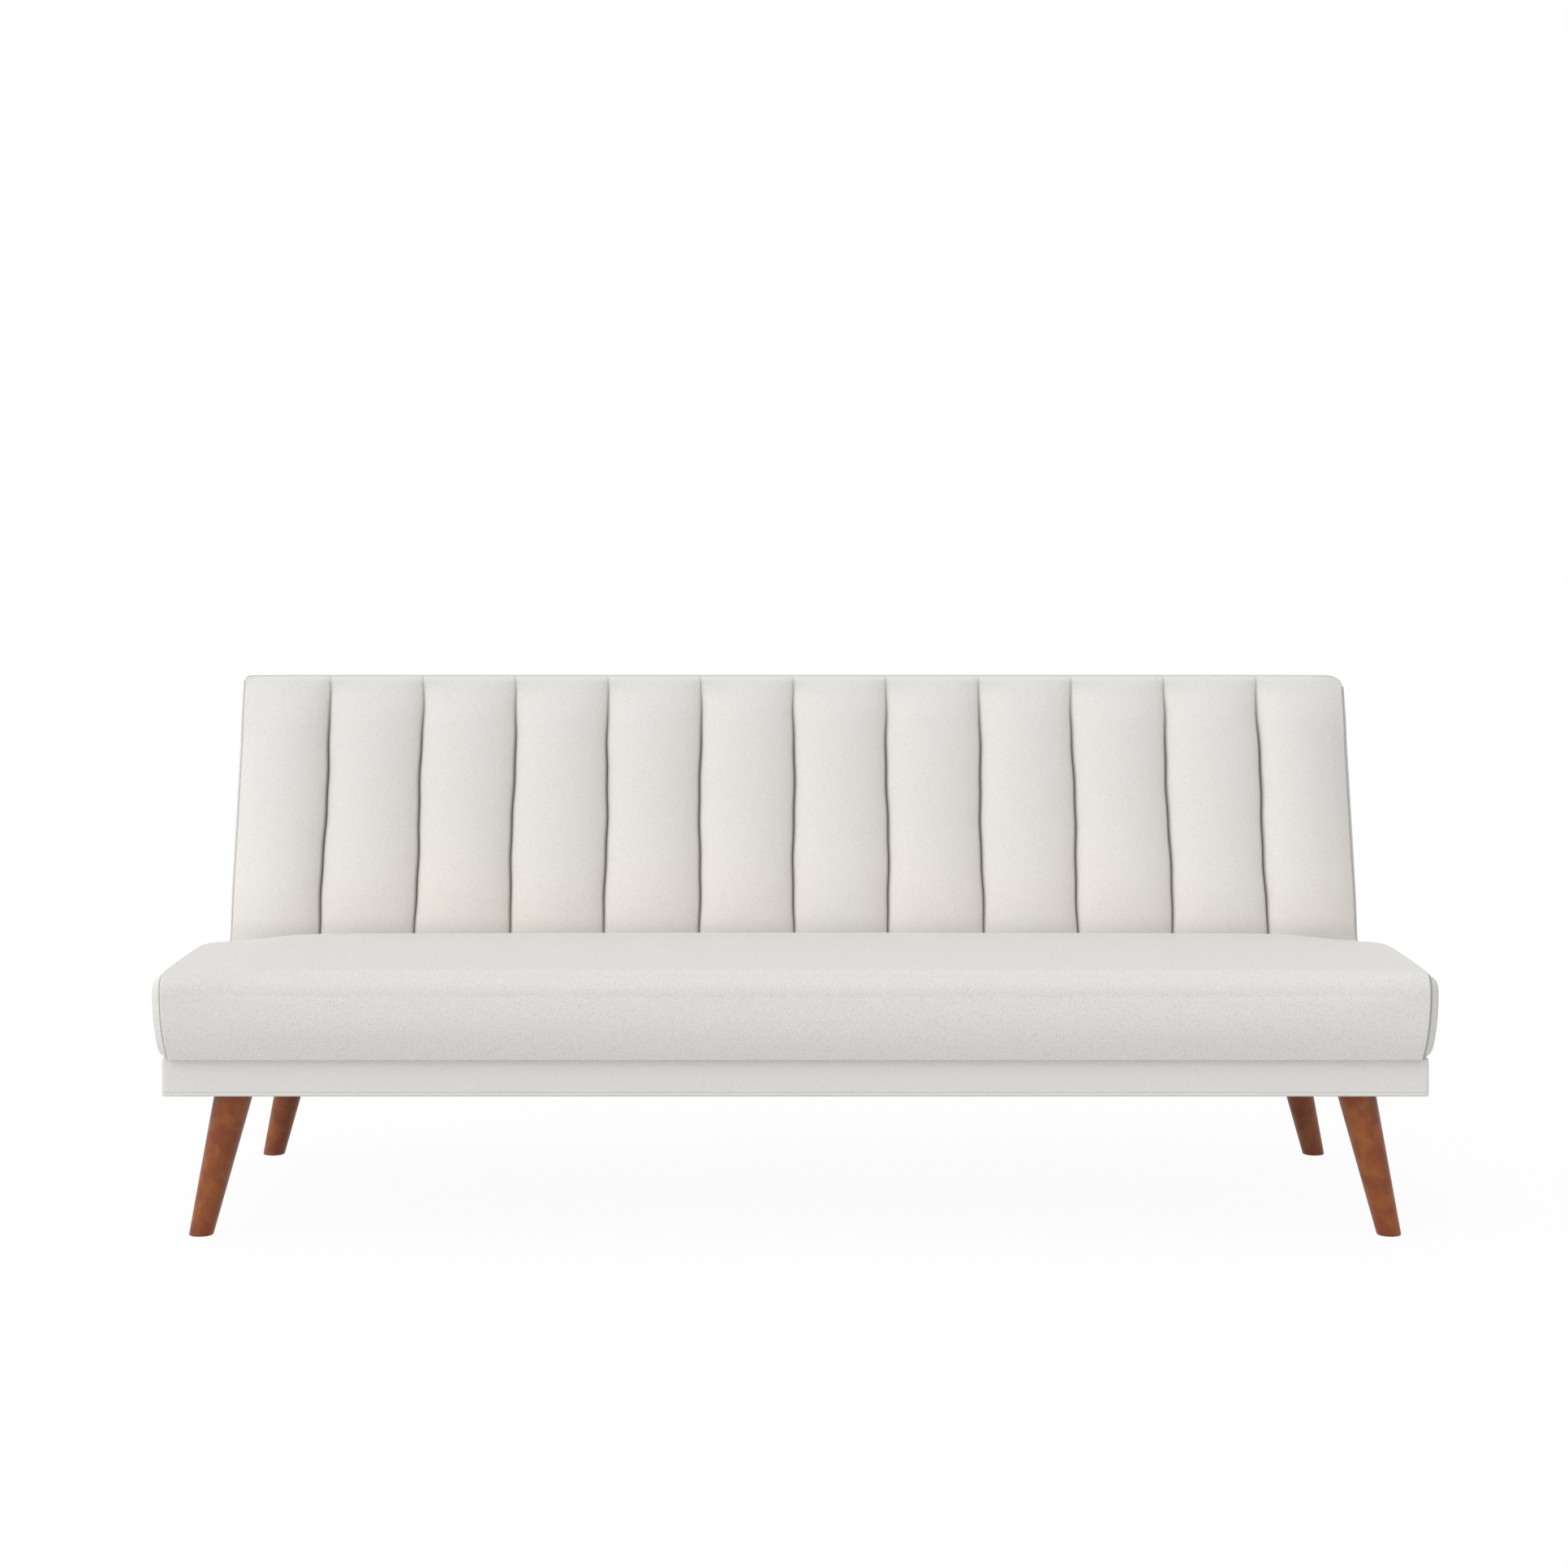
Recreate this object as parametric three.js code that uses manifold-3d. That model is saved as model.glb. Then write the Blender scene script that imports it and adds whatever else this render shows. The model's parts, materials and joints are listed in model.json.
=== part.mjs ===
// A click clack sofa bed: a padded seat fixed on a low upholstered frame with four splayed wooden legs,
// and a channelled back that folds down on two ratchet hinges until seat and back make one flat bed.
// Lengths are in millimetres. The sofa faces -Y, X is its width and Z is up; it stands on the plane z = 0.
import * as THREE from 'three';
import { mergeVertices } from 'three/addons/utils/BufferGeometryUtils.js';
import Module from 'manifold-3d';

const wasm = await Module();
wasm.setup();

const sofaWidth = 1842; // of the seat and of the back

// Fits shared by every piece
const touchGap = 0.3; // between two pieces that rest on each other
const cutOverrun = 6; // how far a cutting tool runs past the face that it opens

// Frame under the seat: a low box of timber rails wrapped in faux leather
const frameSideInset = 19; // the frame stands this far in from the ends of the seat
const frameBehindPivot = 44.5; // and reaches this far behind the back's hinges
const frameHeight = 51.5;
const frameBottom = 209.5; // height of the frame's underside over the floor
const frameFrontInset = 15; // the seat cushion stands this far proud of the frame's front
const sideRailThickness = 22;
const endRailThickness = 22; // front, rear and spring rails, which carry the springs' ends
const coverThickness = 1.5;
const coverReturn = 18; // how far the faux leather is folded over the top and bottom of a rail
const bearerThickness = 20;
const bearerDrop = 16; // the centre bearer lies this much lower than the rails, clear of the springs
const blockLength = 96; // corner block, along the sofa's width
const blockDepth = 66;
const blockHeight = 40;
const dustCoverThickness = 0.9;

// Legs
const legTopRadius = 27.3;
const legFootRadius = 17;
const legFromFrameEnd = 94; // the leg's top centre, in from the frame's side
const legFromFrameFront = 48.5; // and in from the frame's front or rear
const legSplayOut = 48.5; // the foot's centre lies this much further out to the side
const legSides = 28;
const legPlateSize = 48;
const legPlateThickness = 3;
const legPlateCorner = 7;
const legBoltRadius = 4;
const legBoltLength = 62;
const legBoltInLeg = 30;
const boltClearance = 0.5;
const boltSides = 12;
const plateCornerSteps = 4;
const glideRadius = 11;
const glideThickness = 3;
const glideStand = 1; // the glide stands this far out of its recess in the foot

// Seat cushion
const seatDepth = 581;
const seatTop = 387; // height of the crown over the floor
const seatEndCrown = 12; // the end panels bulge this far past their seams
const seatEndInset = 26; // how far the end panel's outline is drawn in at its middle
const seatFootTaper = 12; // each end leans in by this much from the top to the bottom
const seatFrontCrown = 6;
const seatTopFall = 3; // the top's rear edge falls this much from the middle to near the ends
const seatCornerFall = 9; // and this much more over the last stretch along the sofa's width
const seatCornerStretch = 150;
const seatFallStretch = 330; // the fall sets in this far in front of the rear end
const seatTopCrown = 5; // front-to-rear crown of the top
const seatFrontTopRadius = 40;
const seatFrontBottomRadius = 12;
const seatRearTopRadius = 30;
const seatRearCornerRadius = 50; // the same edge at the seat's ends
const seatRearBottomRadius = 10;
const seatWadding = 25; // thickness of the quilted walls round the foam core
const seatArcSteps = 4;
const seatTopShares = [0.12, 0.3, 0.5, 0.7, 0.88];
const seatFrontShares = [0.3, 0.7];

// Sinuous springs under the foam
const springCount = 9;
const springFromCoreEnd = 148; // the outermost spring's middle, in from the foam's end
const springAmplitude = 26;
const springHalfPitch = 45;
const springWire = 4;
const tieWireCount = 2;
const springRailFromRear = 43; // the spring rail lies this far in from the cushion's rear end

// Back
const reclineAngle = 17; // degrees from upright, in the sitting position
const backThickness = 119;
const backAbovePivot = 468;
const backBelowPivot = 35;
const pivotBelowFace = 60; // hinge pivot to the plane of the seat's top and of the back's front
const seatCrownOverBack = 2; // the seat's crown stands this far over the flat back's plane
const pivotBehindSeat = 64.5; // hinge pivot behind the seat's rear end
const channelCount = 12;
const endChannelWidth = 145; // the two outermost channels are narrower than the others
const channelCrown = 8; // the channels swell this far out of the back's plane
const creaseDepth = 9; // and are sewn down this far into it
const creaseTopTaper = 26; // the channels die out over this length below the top edge
const creaseBottomTaper = 90;
const channelFaceShares = [0.03, 0.08, 0.3, 0.6, 0.84, 0.94]; // from the top edge to the bottom one
const plainEndShare = 0.25; // of a channel's width, next to the back's ends, which have no crease
const backTopRadius = 14;
const backRearTopRadius = 18;
const backFrontBottomRadius = 30;
const backRearBottomRadius = 25;
const backArcSteps = 3;
const backEndInset = 12;
const backEndStretch = 14;
const backWadding = 23;
const backBottomWall = 8;
const backSideWall = 24;

// Timber frame inside the back
const backTimberDepth = 40;
const backTimberThickness = 20;
const backRailHeight = 40;
const innerStileShare = 0.345; // the inner stiles stand at this share of the way to the end stiles
const rearPanelThickness = 1.6;
const webbingThickness = 2;
const webbingWidth = 50;
const webbingRows = 2;
const webbingColumns = 8;

// Click clack hinges, one inside each end of the sofa
const hingeFromFrameEnd = 44; // from the frame's end to the bearer's outer face, where the bracket sits
const plateThickness = 4;
const plateGap = 1; // running gap between the bracket and the turning arm
const cheekThickness = 2;
const pinRadius = 6;
const pinHeadRadius = 11;
const pinHeadThickness = 4;
const pinNutThickness = 6;
const nutSides = 6;
const hubRadius = 30;
const notchDepth = 3.6;
const cheekRadius = 32;
const bracketHalfWidth = 24;
const bracketFootFront = 92; // the bracket's foot reaches this far in front of the pivot
const bracketUprightFront = 44; // and its upright this far, at the foot
const bracketFootHeight = 38;
const bracketFootInset = 5; // the foot's lower edge over the bearer's underside
const bracketHoleRadius = 4.2;
const bracketHoleCount = 3;
const armWidth = 32;
const armLength = 232; // from the pivot to the arm's far end
const armNeck = 44; // the arm's straight strap starts this far from the pivot
const armHoleSpacing = 62;
const armHoleCount = 3;
const slotGap = 10; // free space in the padding on each side of the hinge plates
const slotRadius = 46; // free space in the padding round the pivot

// Ratchet and pawl. Angles are in degrees, seen from the sofa's right with the front to the left.
const noseAngle = -80; // where the pawl's nose stands under the hub
const noseClearance = 0.5; // between the nose and the hub's rim when the pawl is held off
const noseHalfWidth = 2.5;
const noseHeight = 4.5;
const pawlPinForward = 20; // the pawl's pin, in front of the pivot
const pawlPinBelow = 50; // and below it
const pawlBossRadius = 9;
const pawlPinRadius = 4;
const pawlTail = 5; // the pawl's heel, past the nose
const pawlFlankShares = [1 / 3, 0.9]; // where the pawl's flanks leave its boss, across and up
const spacerRearward = 18; // the post that holds the cheek plate at the rear
const spacerBelow = 55;
const spacerRadius = 4;
const pawlSpringThickness = 1.2;
const pawlSpringFoot = 10;
const releaseLead = 24; // the sitting notch goes on this far, for the over-travel that releases the ratchet
const notchLead = 12;
const notchTrail = 2;
const notchRampAngle = 8;
const notchWallAngle = 4;
const rimStepAngle = 12; // the rim's round stretches have a point at least this often
const neckFrontAngle = 155; // where the arm's neck leaves the hub
const neckRearAngle = 15;

// Places that follow from the sizes
const frameWidth = sofaWidth - 2 * frameSideInset;
const frameTop = frameBottom + frameHeight;
const frameRear = seatDepth + pivotBehindSeat + frameBehindPivot;
const frameDepth = frameRear - frameFrontInset;
const hingePlace = frameWidth / 2 - hingeFromFrameEnd; // from the sofa's middle
const timberBottom = frameBottom + coverThickness + touchGap;
const timberTop = frameTop - coverThickness - touchGap;
const timberOuterX = frameWidth / 2 - coverThickness - touchGap;
const timberFront = frameFrontInset + coverThickness + touchGap;
const timberRear = frameRear - coverThickness - touchGap;
const sideRailInnerX = timberOuterX - sideRailThickness;
const frontRailInner = timberFront + endRailThickness;
const rearRailInner = timberRear - endRailThickness;
const bearerInnerX = hingePlace - bearerThickness;
const dustCoverBottom = timberBottom - touchGap - dustCoverThickness;
const seatBottom = frameTop + touchGap;
const seatCoreEnd = sofaWidth / 2 - seatEndCrown - seatWadding;
const springBottom = timberTop + touchGap;
const foamBottom = springBottom + springWire + touchGap;
const pivotHeight = seatTop - seatCrownOverBack - pivotBelowFace;
const pivot = new THREE.Vector3(0, seatDepth + pivotBehindSeat, pivotHeight);
const backRecline = THREE.MathUtils.degToRad(reclineAngle);
const flatTurn = 90 - reclineAngle; // the back lies flat after this turn from sitting
const backFront = -pivotBelowFace; // in the back's own frame, whose origin is the pivot
const backRear = backThickness - pivotBelowFace;
const panelFront = backRear - rearPanelThickness - touchGap;
const timberRearFace = panelFront - touchGap;
const timberFrontFace = timberRearFace - backTimberDepth;
const bracketInner = hingePlace + touchGap;
const armInner = bracketInner + plateThickness + plateGap;
const cheekInner = armInner + plateThickness + plateGap;
const stileInner = armInner + plateThickness + touchGap;
const slotInnerX = bracketInner - slotGap;
const slotOuterX = cheekInner + cheekThickness + slotGap;
const slotTop = slotRadius; // above the hinges, the frame starts this far from the pivot
const hubRoot = hubRadius - notchDepth;
const rearOpening = -backBelowPivot + backRearBottomRadius; // the cover is open at the rear from here up

// Materials
const fauxLeather = new THREE.MeshStandardMaterial({ color: 0xdcdbd7, roughness: 0.62, metalness: 0 });
const timber = new THREE.MeshStandardMaterial({ color: 0xc9a878, roughness: 0.8, metalness: 0 });
const legWood = new THREE.MeshStandardMaterial({ color: 0x87492a, roughness: 0.42, metalness: 0 });
const steel = new THREE.MeshStandardMaterial({ color: 0x2b2c2e, roughness: 0.5, metalness: 0.9 });
const zincSteel = new THREE.MeshStandardMaterial({ color: 0xa8abaf, roughness: 0.4, metalness: 1 });
const springSteel = new THREE.MeshStandardMaterial({ color: 0x5d5f62, roughness: 0.45, metalness: 1 });
const foam = new THREE.MeshStandardMaterial({ color: 0xe9e2c6, roughness: 1, metalness: 0 });
const blackCloth = new THREE.MeshStandardMaterial({ color: 0x1b1b1c, roughness: 1, metalness: 0 });
const webbing = new THREE.MeshStandardMaterial({ color: 0x35332f, roughness: 1, metalness: 0 });
const nylon = new THREE.MeshStandardMaterial({ color: 0x6b4a35, roughness: 0.6, metalness: 0 });

// Solids: a closed geometry becomes a manifold for cutting and joining, and back.
function solidOf(geometry) {
  const bare = geometry.index ? geometry.toNonIndexed() : geometry.clone();
  bare.deleteAttribute('normal');
  bare.deleteAttribute('uv');
  const merged = mergeVertices(bare);
  return new wasm.Manifold(new wasm.Mesh({
    numProp: 3,
    vertProperties: new Float32Array(merged.attributes.position.array),
    triVerts: new Uint32Array(merged.index.array),
  }));
}

function geometryOf(solid) {
  const mesh = solid.getMesh();
  const geometry = new THREE.BufferGeometry();
  geometry.setAttribute('position', new THREE.BufferAttribute(mesh.vertProperties, 3));
  geometry.setIndex(new THREE.BufferAttribute(mesh.triVerts, 1));
  const flat = geometry.toNonIndexed();
  flat.computeVertexNormals();
  return flat;
}

// A plain block between two corners.
function block(x0, x1, y0, y1, z0, z1) {
  const box = new THREE.BoxGeometry(x1 - x0, y1 - y0, z1 - z0);
  return box.translate((x0 + x1) / 2, (y0 + y1) / 2, (z0 + z1) / 2);
}

// A flat plate standing in a YZ plane: its outline is drawn in y and z, and its thickness lies along X.
// side is 1 at the sofa's right end and -1 at its left; inner is the plate's face nearest to the middle.
function plate(shape, side, inner, thickness, curveSegments = boltSides) {
  const geometry = new THREE.ExtrudeGeometry(shape, { depth: thickness, bevelEnabled: false, curveSegments });
  const toYZ = new THREE.Matrix4().makeBasis(
    new THREE.Vector3(0, 1, 0), new THREE.Vector3(0, 0, 1), new THREE.Vector3(1, 0, 0));
  geometry.applyMatrix4(toYZ);
  return geometry.translate(side > 0 ? inner : -inner - thickness, 0, 0);
}

function disc(y, z, radius) {
  const shape = new THREE.Shape();
  shape.absarc(y, z, radius, 0, 2 * Math.PI, false);
  return shape;
}

function polygon(points) {
  return new THREE.Shape(points.map(([y, z]) => new THREE.Vector2(y, z)));
}

function rectangle(y0, y1, z0, z1) {
  return polygon([[y0, z0], [y1, z0], [y1, z1], [y0, z1]]);
}

// Padded outline in y and z, counter-clockwise from the front bottom corner: four arcs joined by faces that
// may swell. radii are [front bottom, rear bottom, rear top, front top]; a face's swell is a function of the
// share of its length, and places are the shares where the face gets its points.
function paddedOutline(box, radii, faces, arcSteps) {
  const centres = [
    [box.y0 + radii[0], box.z0 + radii[0]],
    [box.y1 - radii[1], box.z0 + radii[1]],
    [box.y1 - radii[2], box.z1 - radii[2]],
    [box.y0 + radii[3], box.z1 - radii[3]],
  ];
  const outward = [[0, -1], [1, 0], [0, 1], [-1, 0]]; // of the bottom, rear, top and front face
  const outline = [];
  centres.forEach(([cy, cz], corner) => {
    for (let step = 0; step <= arcSteps; step++) {
      const angle = Math.PI + (corner + step / arcSteps) * Math.PI / 2;
      outline.push([cy + radii[corner] * Math.cos(angle), cz + radii[corner] * Math.sin(angle)]);
    }
    const face = faces[corner];
    const next = (corner + 1) % centres.length;
    const [ny, nz] = outward[corner];
    const start = [cy + radii[corner] * ny, cz + radii[corner] * nz];
    const end = [centres[next][0] + radii[next] * ny, centres[next][1] + radii[next] * nz];
    for (const share of face.places) {
      const swell = face.swell(share);
      outline.push([
        start[0] + (end[0] - start[0]) * share + ny * swell,
        start[1] + (end[1] - start[1]) * share + nz * swell,
      ]);
    }
  });
  return outline;
}

// A closed body through outlines that all have the same number of points, one at each place along X.
function loft(places, outlines) {
  const size = outlines[0].length;
  const position = [];
  const index = [];
  outlines.forEach((outline, i) => outline.forEach(([y, z]) => position.push(places[i], y, z)));
  for (let i = 0; i + 1 < places.length; i++) {
    for (let j = 0; j < size; j++) {
      const a = i * size + j;
      const b = i * size + (j + 1) % size;
      index.push(a, b, b + size, a, b + size, a + size);
    }
  }
  for (const last of [false, true]) {
    const ring = last ? outlines.length - 1 : 0;
    const centre = position.length / 3;
    const middle = outlines[ring].reduce(([y, z], p) => [y + p[0] / size, z + p[1] / size], [0, 0]);
    position.push(places[ring], ...middle);
    for (let j = 0; j < size; j++) {
      const a = ring * size + j;
      const b = ring * size + (j + 1) % size;
      index.push(centre, ...(last ? [a, b] : [b, a]));
    }
  }
  const geometry = new THREE.BufferGeometry();
  geometry.setAttribute('position', new THREE.Float32BufferAttribute(position, 3));
  geometry.setIndex(index);
  return geometry;
}

const smooth = (t) => {
  const s = THREE.MathUtils.clamp(t, 0, 1);
  return s * s * (3 - 2 * s);
};
const bulge = (share) => Math.sin(Math.PI * share);
const flatFace = { places: [], swell: () => 0 };

const sofa = new THREE.Group();
const base = new THREE.Group();
const back = new THREE.Group();
sofa.add(base, back);
back.position.copy(pivot);
back.rotation.x = -backRecline;

function addPiece(parent, name, geometry, material) {
  const mesh = new THREE.Mesh(geometry, material);
  mesh.name = name;
  parent.add(mesh);
  return mesh;
}

const ends = [['left', -1], ['right', 1]];
const corners = [['front_left', -1, -1], ['front_right', 1, -1], ['rear_left', -1, 1], ['rear_right', 1, 1]];
const spread = (side, inner, outer) => (side > 0 ? [inner, outer] : [-outer, -inner]);

// Timber frame under the seat
function buildFrame() {
  const rail = (name, x0, x1, y0, y1, z1 = timberTop) =>
    addPiece(base, name, block(x0, x1, y0, y1, timberBottom, z1), timber);
  rail('frame_front_rail', -timberOuterX, timberOuterX, timberFront, frontRailInner);
  rail('frame_rear_rail', -timberOuterX, timberOuterX, rearRailInner, timberRear);
  const springRailRear = seatDepth - springRailFromRear + endRailThickness;
  const innerEnd = bearerInnerX - touchGap;
  rail('frame_spring_rail', -innerEnd, innerEnd, seatDepth - springRailFromRear, springRailRear);
  const between = [frontRailInner + touchGap, rearRailInner - touchGap];
  for (const [end, side] of ends) {
    rail(`frame_${end}_rail`, ...spread(side, sideRailInnerX, timberOuterX), ...between);
    rail(`frame_${end}_bearer`, ...spread(side, bearerInnerX, hingePlace), ...between);
  }
  const springRailFront = seatDepth - springRailFromRear - touchGap;
  rail('frame_centre_bearer', -bearerThickness / 2, bearerThickness / 2, between[0], springRailFront,
    timberTop - bearerDrop);
}

// Faux leather wrapped round each rail: an outer face with a fold over the top and one under the bottom
function buildRailCovers() {
  const channel = (z0, z1) => {
    const t = coverThickness;
    return polygon([
      [0, z0], [coverReturn, z0], [coverReturn, z0 + t], [t, z0 + t],
      [t, z1 - t], [coverReturn, z1 - t], [coverReturn, z1], [0, z1],
    ]);
  };
  const wrap = (length) => {
    const geometry = plate(channel(frameBottom, frameTop), 1, 0, length);
    return geometry.translate(-length / 2, 0, 0);
  };
  const sideLength = frameDepth - 2 * (coverReturn + touchGap);
  const front = wrap(frameWidth).translate(0, frameFrontInset, 0);
  const rear = wrap(frameWidth).rotateZ(Math.PI).translate(0, frameRear, 0);
  addPiece(base, 'rail_cover_front', front, fauxLeather);
  addPiece(base, 'rail_cover_rear', rear, fauxLeather);
  for (const [end, side] of ends) {
    const cover = wrap(sideLength).rotateZ(side * Math.PI / 2);
    cover.translate(side * frameWidth / 2, frameFrontInset + frameDepth / 2, 0);
    addPiece(base, `rail_cover_${end}`, cover, fauxLeather);
  }
}

// Legs, with the plates, bolts and glides that go with them
const legAxis = (side, fore) => {
  const top = new THREE.Vector3(
    side * (frameWidth / 2 - legFromFrameEnd),
    fore < 0 ? frameFrontInset + legFromFrameFront : frameRear - legFromFrameFront,
    frameBottom);
  const foot = new THREE.Vector3(top.x + side * legSplayOut, top.y, 0);
  return { top, foot };
};

// A round bar along the leg's axis, from one distance past the leg's top to another.
function barOnAxis(axis, from, to, radiusFrom, radiusTo, sides) {
  const down = axis.foot.clone().sub(axis.top).normalize();
  const bar = new THREE.CylinderGeometry(radiusFrom, radiusTo, to - from, sides);
  bar.translate(0, -(from + to) / 2, 0);
  bar.applyQuaternion(new THREE.Quaternion().setFromUnitVectors(new THREE.Vector3(0, -1, 0), down));
  return bar.translate(axis.top.x, axis.top.y, axis.top.z);
}

function boltHole(axis) {
  const radius = legBoltRadius + boltClearance;
  return solidOf(barOnAxis(axis, -legBoltLength, legBoltInLeg + cutOverrun, radius, radius, boltSides));
}

function buildLegs() {
  const legTop = dustCoverBottom - touchGap;
  for (const [corner, side, fore] of corners) {
    const axis = legAxis(side, fore);
    const length = axis.top.distanceTo(axis.foot);
    const spare = legTopRadius; // so that the tilted bar still fills the leg's flat ends
    const taper = (legTopRadius - legFootRadius) / length;
    const bar = barOnAxis(axis, -spare, length + spare,
      legTopRadius + spare * taper, legFootRadius - spare * taper, legSides);
    const reach = legTopRadius + legSplayOut;
    const { top, foot } = axis;
    const trim = block(top.x - reach, top.x + reach, top.y - reach, top.y + reach, glideStand, legTop);
    const recess = glideDisc(foot, glideRadius + touchGap, glideThickness + touchGap);
    const leg = solidOf(bar).intersect(solidOf(trim)).subtract(boltHole(axis)).subtract(solidOf(recess));
    addPiece(base, `leg_${corner}`, geometryOf(leg), legWood);

    const bolt = barOnAxis(axis, legBoltInLeg - legBoltLength, legBoltInLeg,
      legBoltRadius, legBoltRadius, boltSides);
    addPiece(base, `leg_bolt_${corner}`, bolt, zincSteel);

    addPiece(base, `foot_glide_${corner}`, glideDisc(foot, glideRadius, glideThickness), nylon);
    addPiece(base, `leg_plate_${corner}`, geometryOf(legPlate(axis, timberBottom)), zincSteel);
    addPiece(base, `corner_block_${corner}`, geometryOf(cornerBlock(axis, side, fore)), timber);
  }
}

// A round disc that stands on the floor, centred under the leg's foot.
function glideDisc(foot, radius, height) {
  const disk = new THREE.CylinderGeometry(radius, radius, height, legSides);
  return disk.rotateX(Math.PI / 2).translate(foot.x, foot.y, height / 2);
}

// A square steel plate with rounded corners, a bolt hole and four screw holes.
function legPlate(axis, bottom) {
  const half = legPlateSize / 2;
  const inner = half - legPlateCorner;
  const shape = new THREE.Shape();
  [[inner, inner, 0], [-inner, inner, 1], [-inner, -inner, 2], [inner, -inner, 3]].forEach(([x, y, turn]) => {
    shape.absarc(x, y, legPlateCorner, turn * Math.PI / 2, (turn + 1) * Math.PI / 2, false);
  });
  for (const x of [-inner, inner]) {
    for (const y of [-inner, inner]) {
      const hole = new THREE.Path();
      hole.absarc(x, y, legBoltRadius / 2, 0, 2 * Math.PI, false);
      shape.holes.push(hole);
    }
  }
  const plateGeometry = new THREE.ExtrudeGeometry(shape,
    { depth: legPlateThickness, bevelEnabled: false, curveSegments: plateCornerSteps });
  plateGeometry.translate(axis.top.x, axis.top.y, bottom);
  return solidOf(plateGeometry).subtract(boltHole(axis));
}

// A timber block inside the frame's corner, between the end rail and the bearer, that takes the leg's bolt.
function cornerBlock(axis, side, fore) {
  const [x0, x1] = spread(side, bearerInnerX - touchGap - blockLength, bearerInnerX - touchGap);
  const y0 = fore < 0 ? frontRailInner + touchGap : rearRailInner - touchGap - blockDepth;
  const bottom = timberBottom + legPlateThickness + touchGap;
  const timberBlock = block(x0, x1, y0, y0 + blockDepth, bottom, bottom + blockHeight);
  return solidOf(timberBlock).subtract(boltHole(axis));
}

// Black non-woven cloth that closes the frame's underside inside the folded faux leather
function buildDustCover() {
  const inset = coverReturn + touchGap;
  const halfWidth = frameWidth / 2 - inset;
  let cloth = solidOf(block(-halfWidth, halfWidth, frameFrontInset + inset, frameRear - inset,
    dustCoverBottom, dustCoverBottom + dustCoverThickness));
  for (const [, side, fore] of corners) {
    cloth = cloth.subtract(boltHole(legAxis(side, fore)));
  }
  addPiece(base, 'base_dust_cover', geometryOf(cloth), blackCloth);
}

// Sinuous springs from the front rail to the spring rail, tied together by two cross wires
function buildSprings() {
  const front = frameFrontInset + coverReturn + touchGap;
  const rear = seatDepth - springRailFromRear + springWire;
  const bends = Math.round((rear - front) / springHalfPitch);
  const pitch = (rear - front) / bends;
  const half = springWire / 2;
  const zigzag = [];
  for (let i = 0; i <= bends; i++) {
    const sign = i % 2 ? 1 : -1;
    const middle = front + i * pitch;
    const lead = i === 0 ? 0 : pitch / 4;
    const trail = i === bends ? 0 : pitch / 4;
    zigzag.push([sign * springAmplitude, middle - lead]);
    zigzag.push([sign * springAmplitude, middle + trail]);
  }
  const wire = ribbon(zigzag, half);
  let deck = null;
  const outermost = seatCoreEnd - springFromCoreEnd;
  for (let i = 0; i < springCount; i++) {
    const x = outermost * (2 * i / (springCount - 1) - 1);
    const spring = new THREE.ExtrudeGeometry(wire, { depth: springWire, bevelEnabled: false });
    const solid = solidOf(spring.translate(x, 0, springBottom));
    deck = deck ? deck.add(solid) : solid;
  }
  const reach = outermost + springAmplitude + springWire;
  for (let i = 1; i <= tieWireCount; i++) {
    const y = front + (rear - front) * i / (tieWireCount + 1);
    const tie = block(-reach, reach, y - half, y + half, springBottom, springBottom + springWire);
    deck = deck.add(solidOf(tie));
  }
  addPiece(base, 'seat_springs', geometryOf(deck), springSteel);
}

// A band of constant half width along a line of points, as a flat shape.
function ribbon(points, half) {
  const left = [];
  const right = [];
  points.forEach(([x, y], i) => {
    const [ax, ay] = points[Math.max(i - 1, 0)];
    const [bx, by] = points[Math.min(i + 1, points.length - 1)];
    const length = Math.hypot(bx - ax, by - ay);
    const nx = -(by - ay) / length * half;
    const ny = (bx - ax) / length * half;
    left.push(new THREE.Vector2(x + nx, y + ny));
    right.unshift(new THREE.Vector2(x - nx, y - ny));
  });
  return new THREE.Shape([...left, ...right]);
}

// Seat cushion: a crowned, quilted cover with crowned end panels, over a foam core
function seatOutline(x) {
  const half = sofaWidth / 2;
  const seam = half - seatEndCrown;
  const past = Math.max(0, Math.abs(x) - seam) / seatEndCrown;
  const inset = seatEndInset * (1 - Math.sqrt(Math.max(0, 1 - past * past)));
  const nearEnd = smooth((Math.abs(x) - (half - seatCornerStretch)) / seatCornerStretch);
  const fall = seatTopFall * (x / half) ** 2 + seatCornerFall * nearEnd;
  const rearTopRadius = seatRearTopRadius + (seatRearCornerRadius - seatRearTopRadius) * nearEnd;
  const box = {
    y0: inset,
    y1: seatDepth - inset,
    z0: seatBottom + inset / 2,
    z1: seatTop - seatTopCrown - inset,
  };
  const swell = 1 - past;
  const faces = [
    flatFace,
    flatFace,
    { places: seatTopShares, swell: (share) => seatTopCrown * bulge(share) },
    { places: seatFrontShares, swell: (share) => seatFrontCrown * swell * bulge(share) },
  ];
  const radii = [seatFrontBottomRadius, seatRearBottomRadius, rearTopRadius, seatFrontTopRadius];
  return paddedOutline(box, radii, faces, seatArcSteps).map(([y, z]) => {
    const rearward = smooth((y - (seatDepth - seatFallStretch)) / seatFallStretch);
    const up = (z - seatBottom) / (seatTop - seatBottom);
    return [y, z - fall * rearward * up];
  });
}

// Both ends of the seat lean in from the top to the bottom, in proportion to the distance from the middle.
function leanEndsIn(geometry) {
  const position = geometry.attributes.position;
  for (let i = 0; i < position.count; i++) {
    const down = (seatTop - position.getZ(i)) / (seatTop - seatBottom);
    position.setX(i, position.getX(i) * (1 - seatFootTaper * 2 / sofaWidth * down * down));
  }
}

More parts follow.
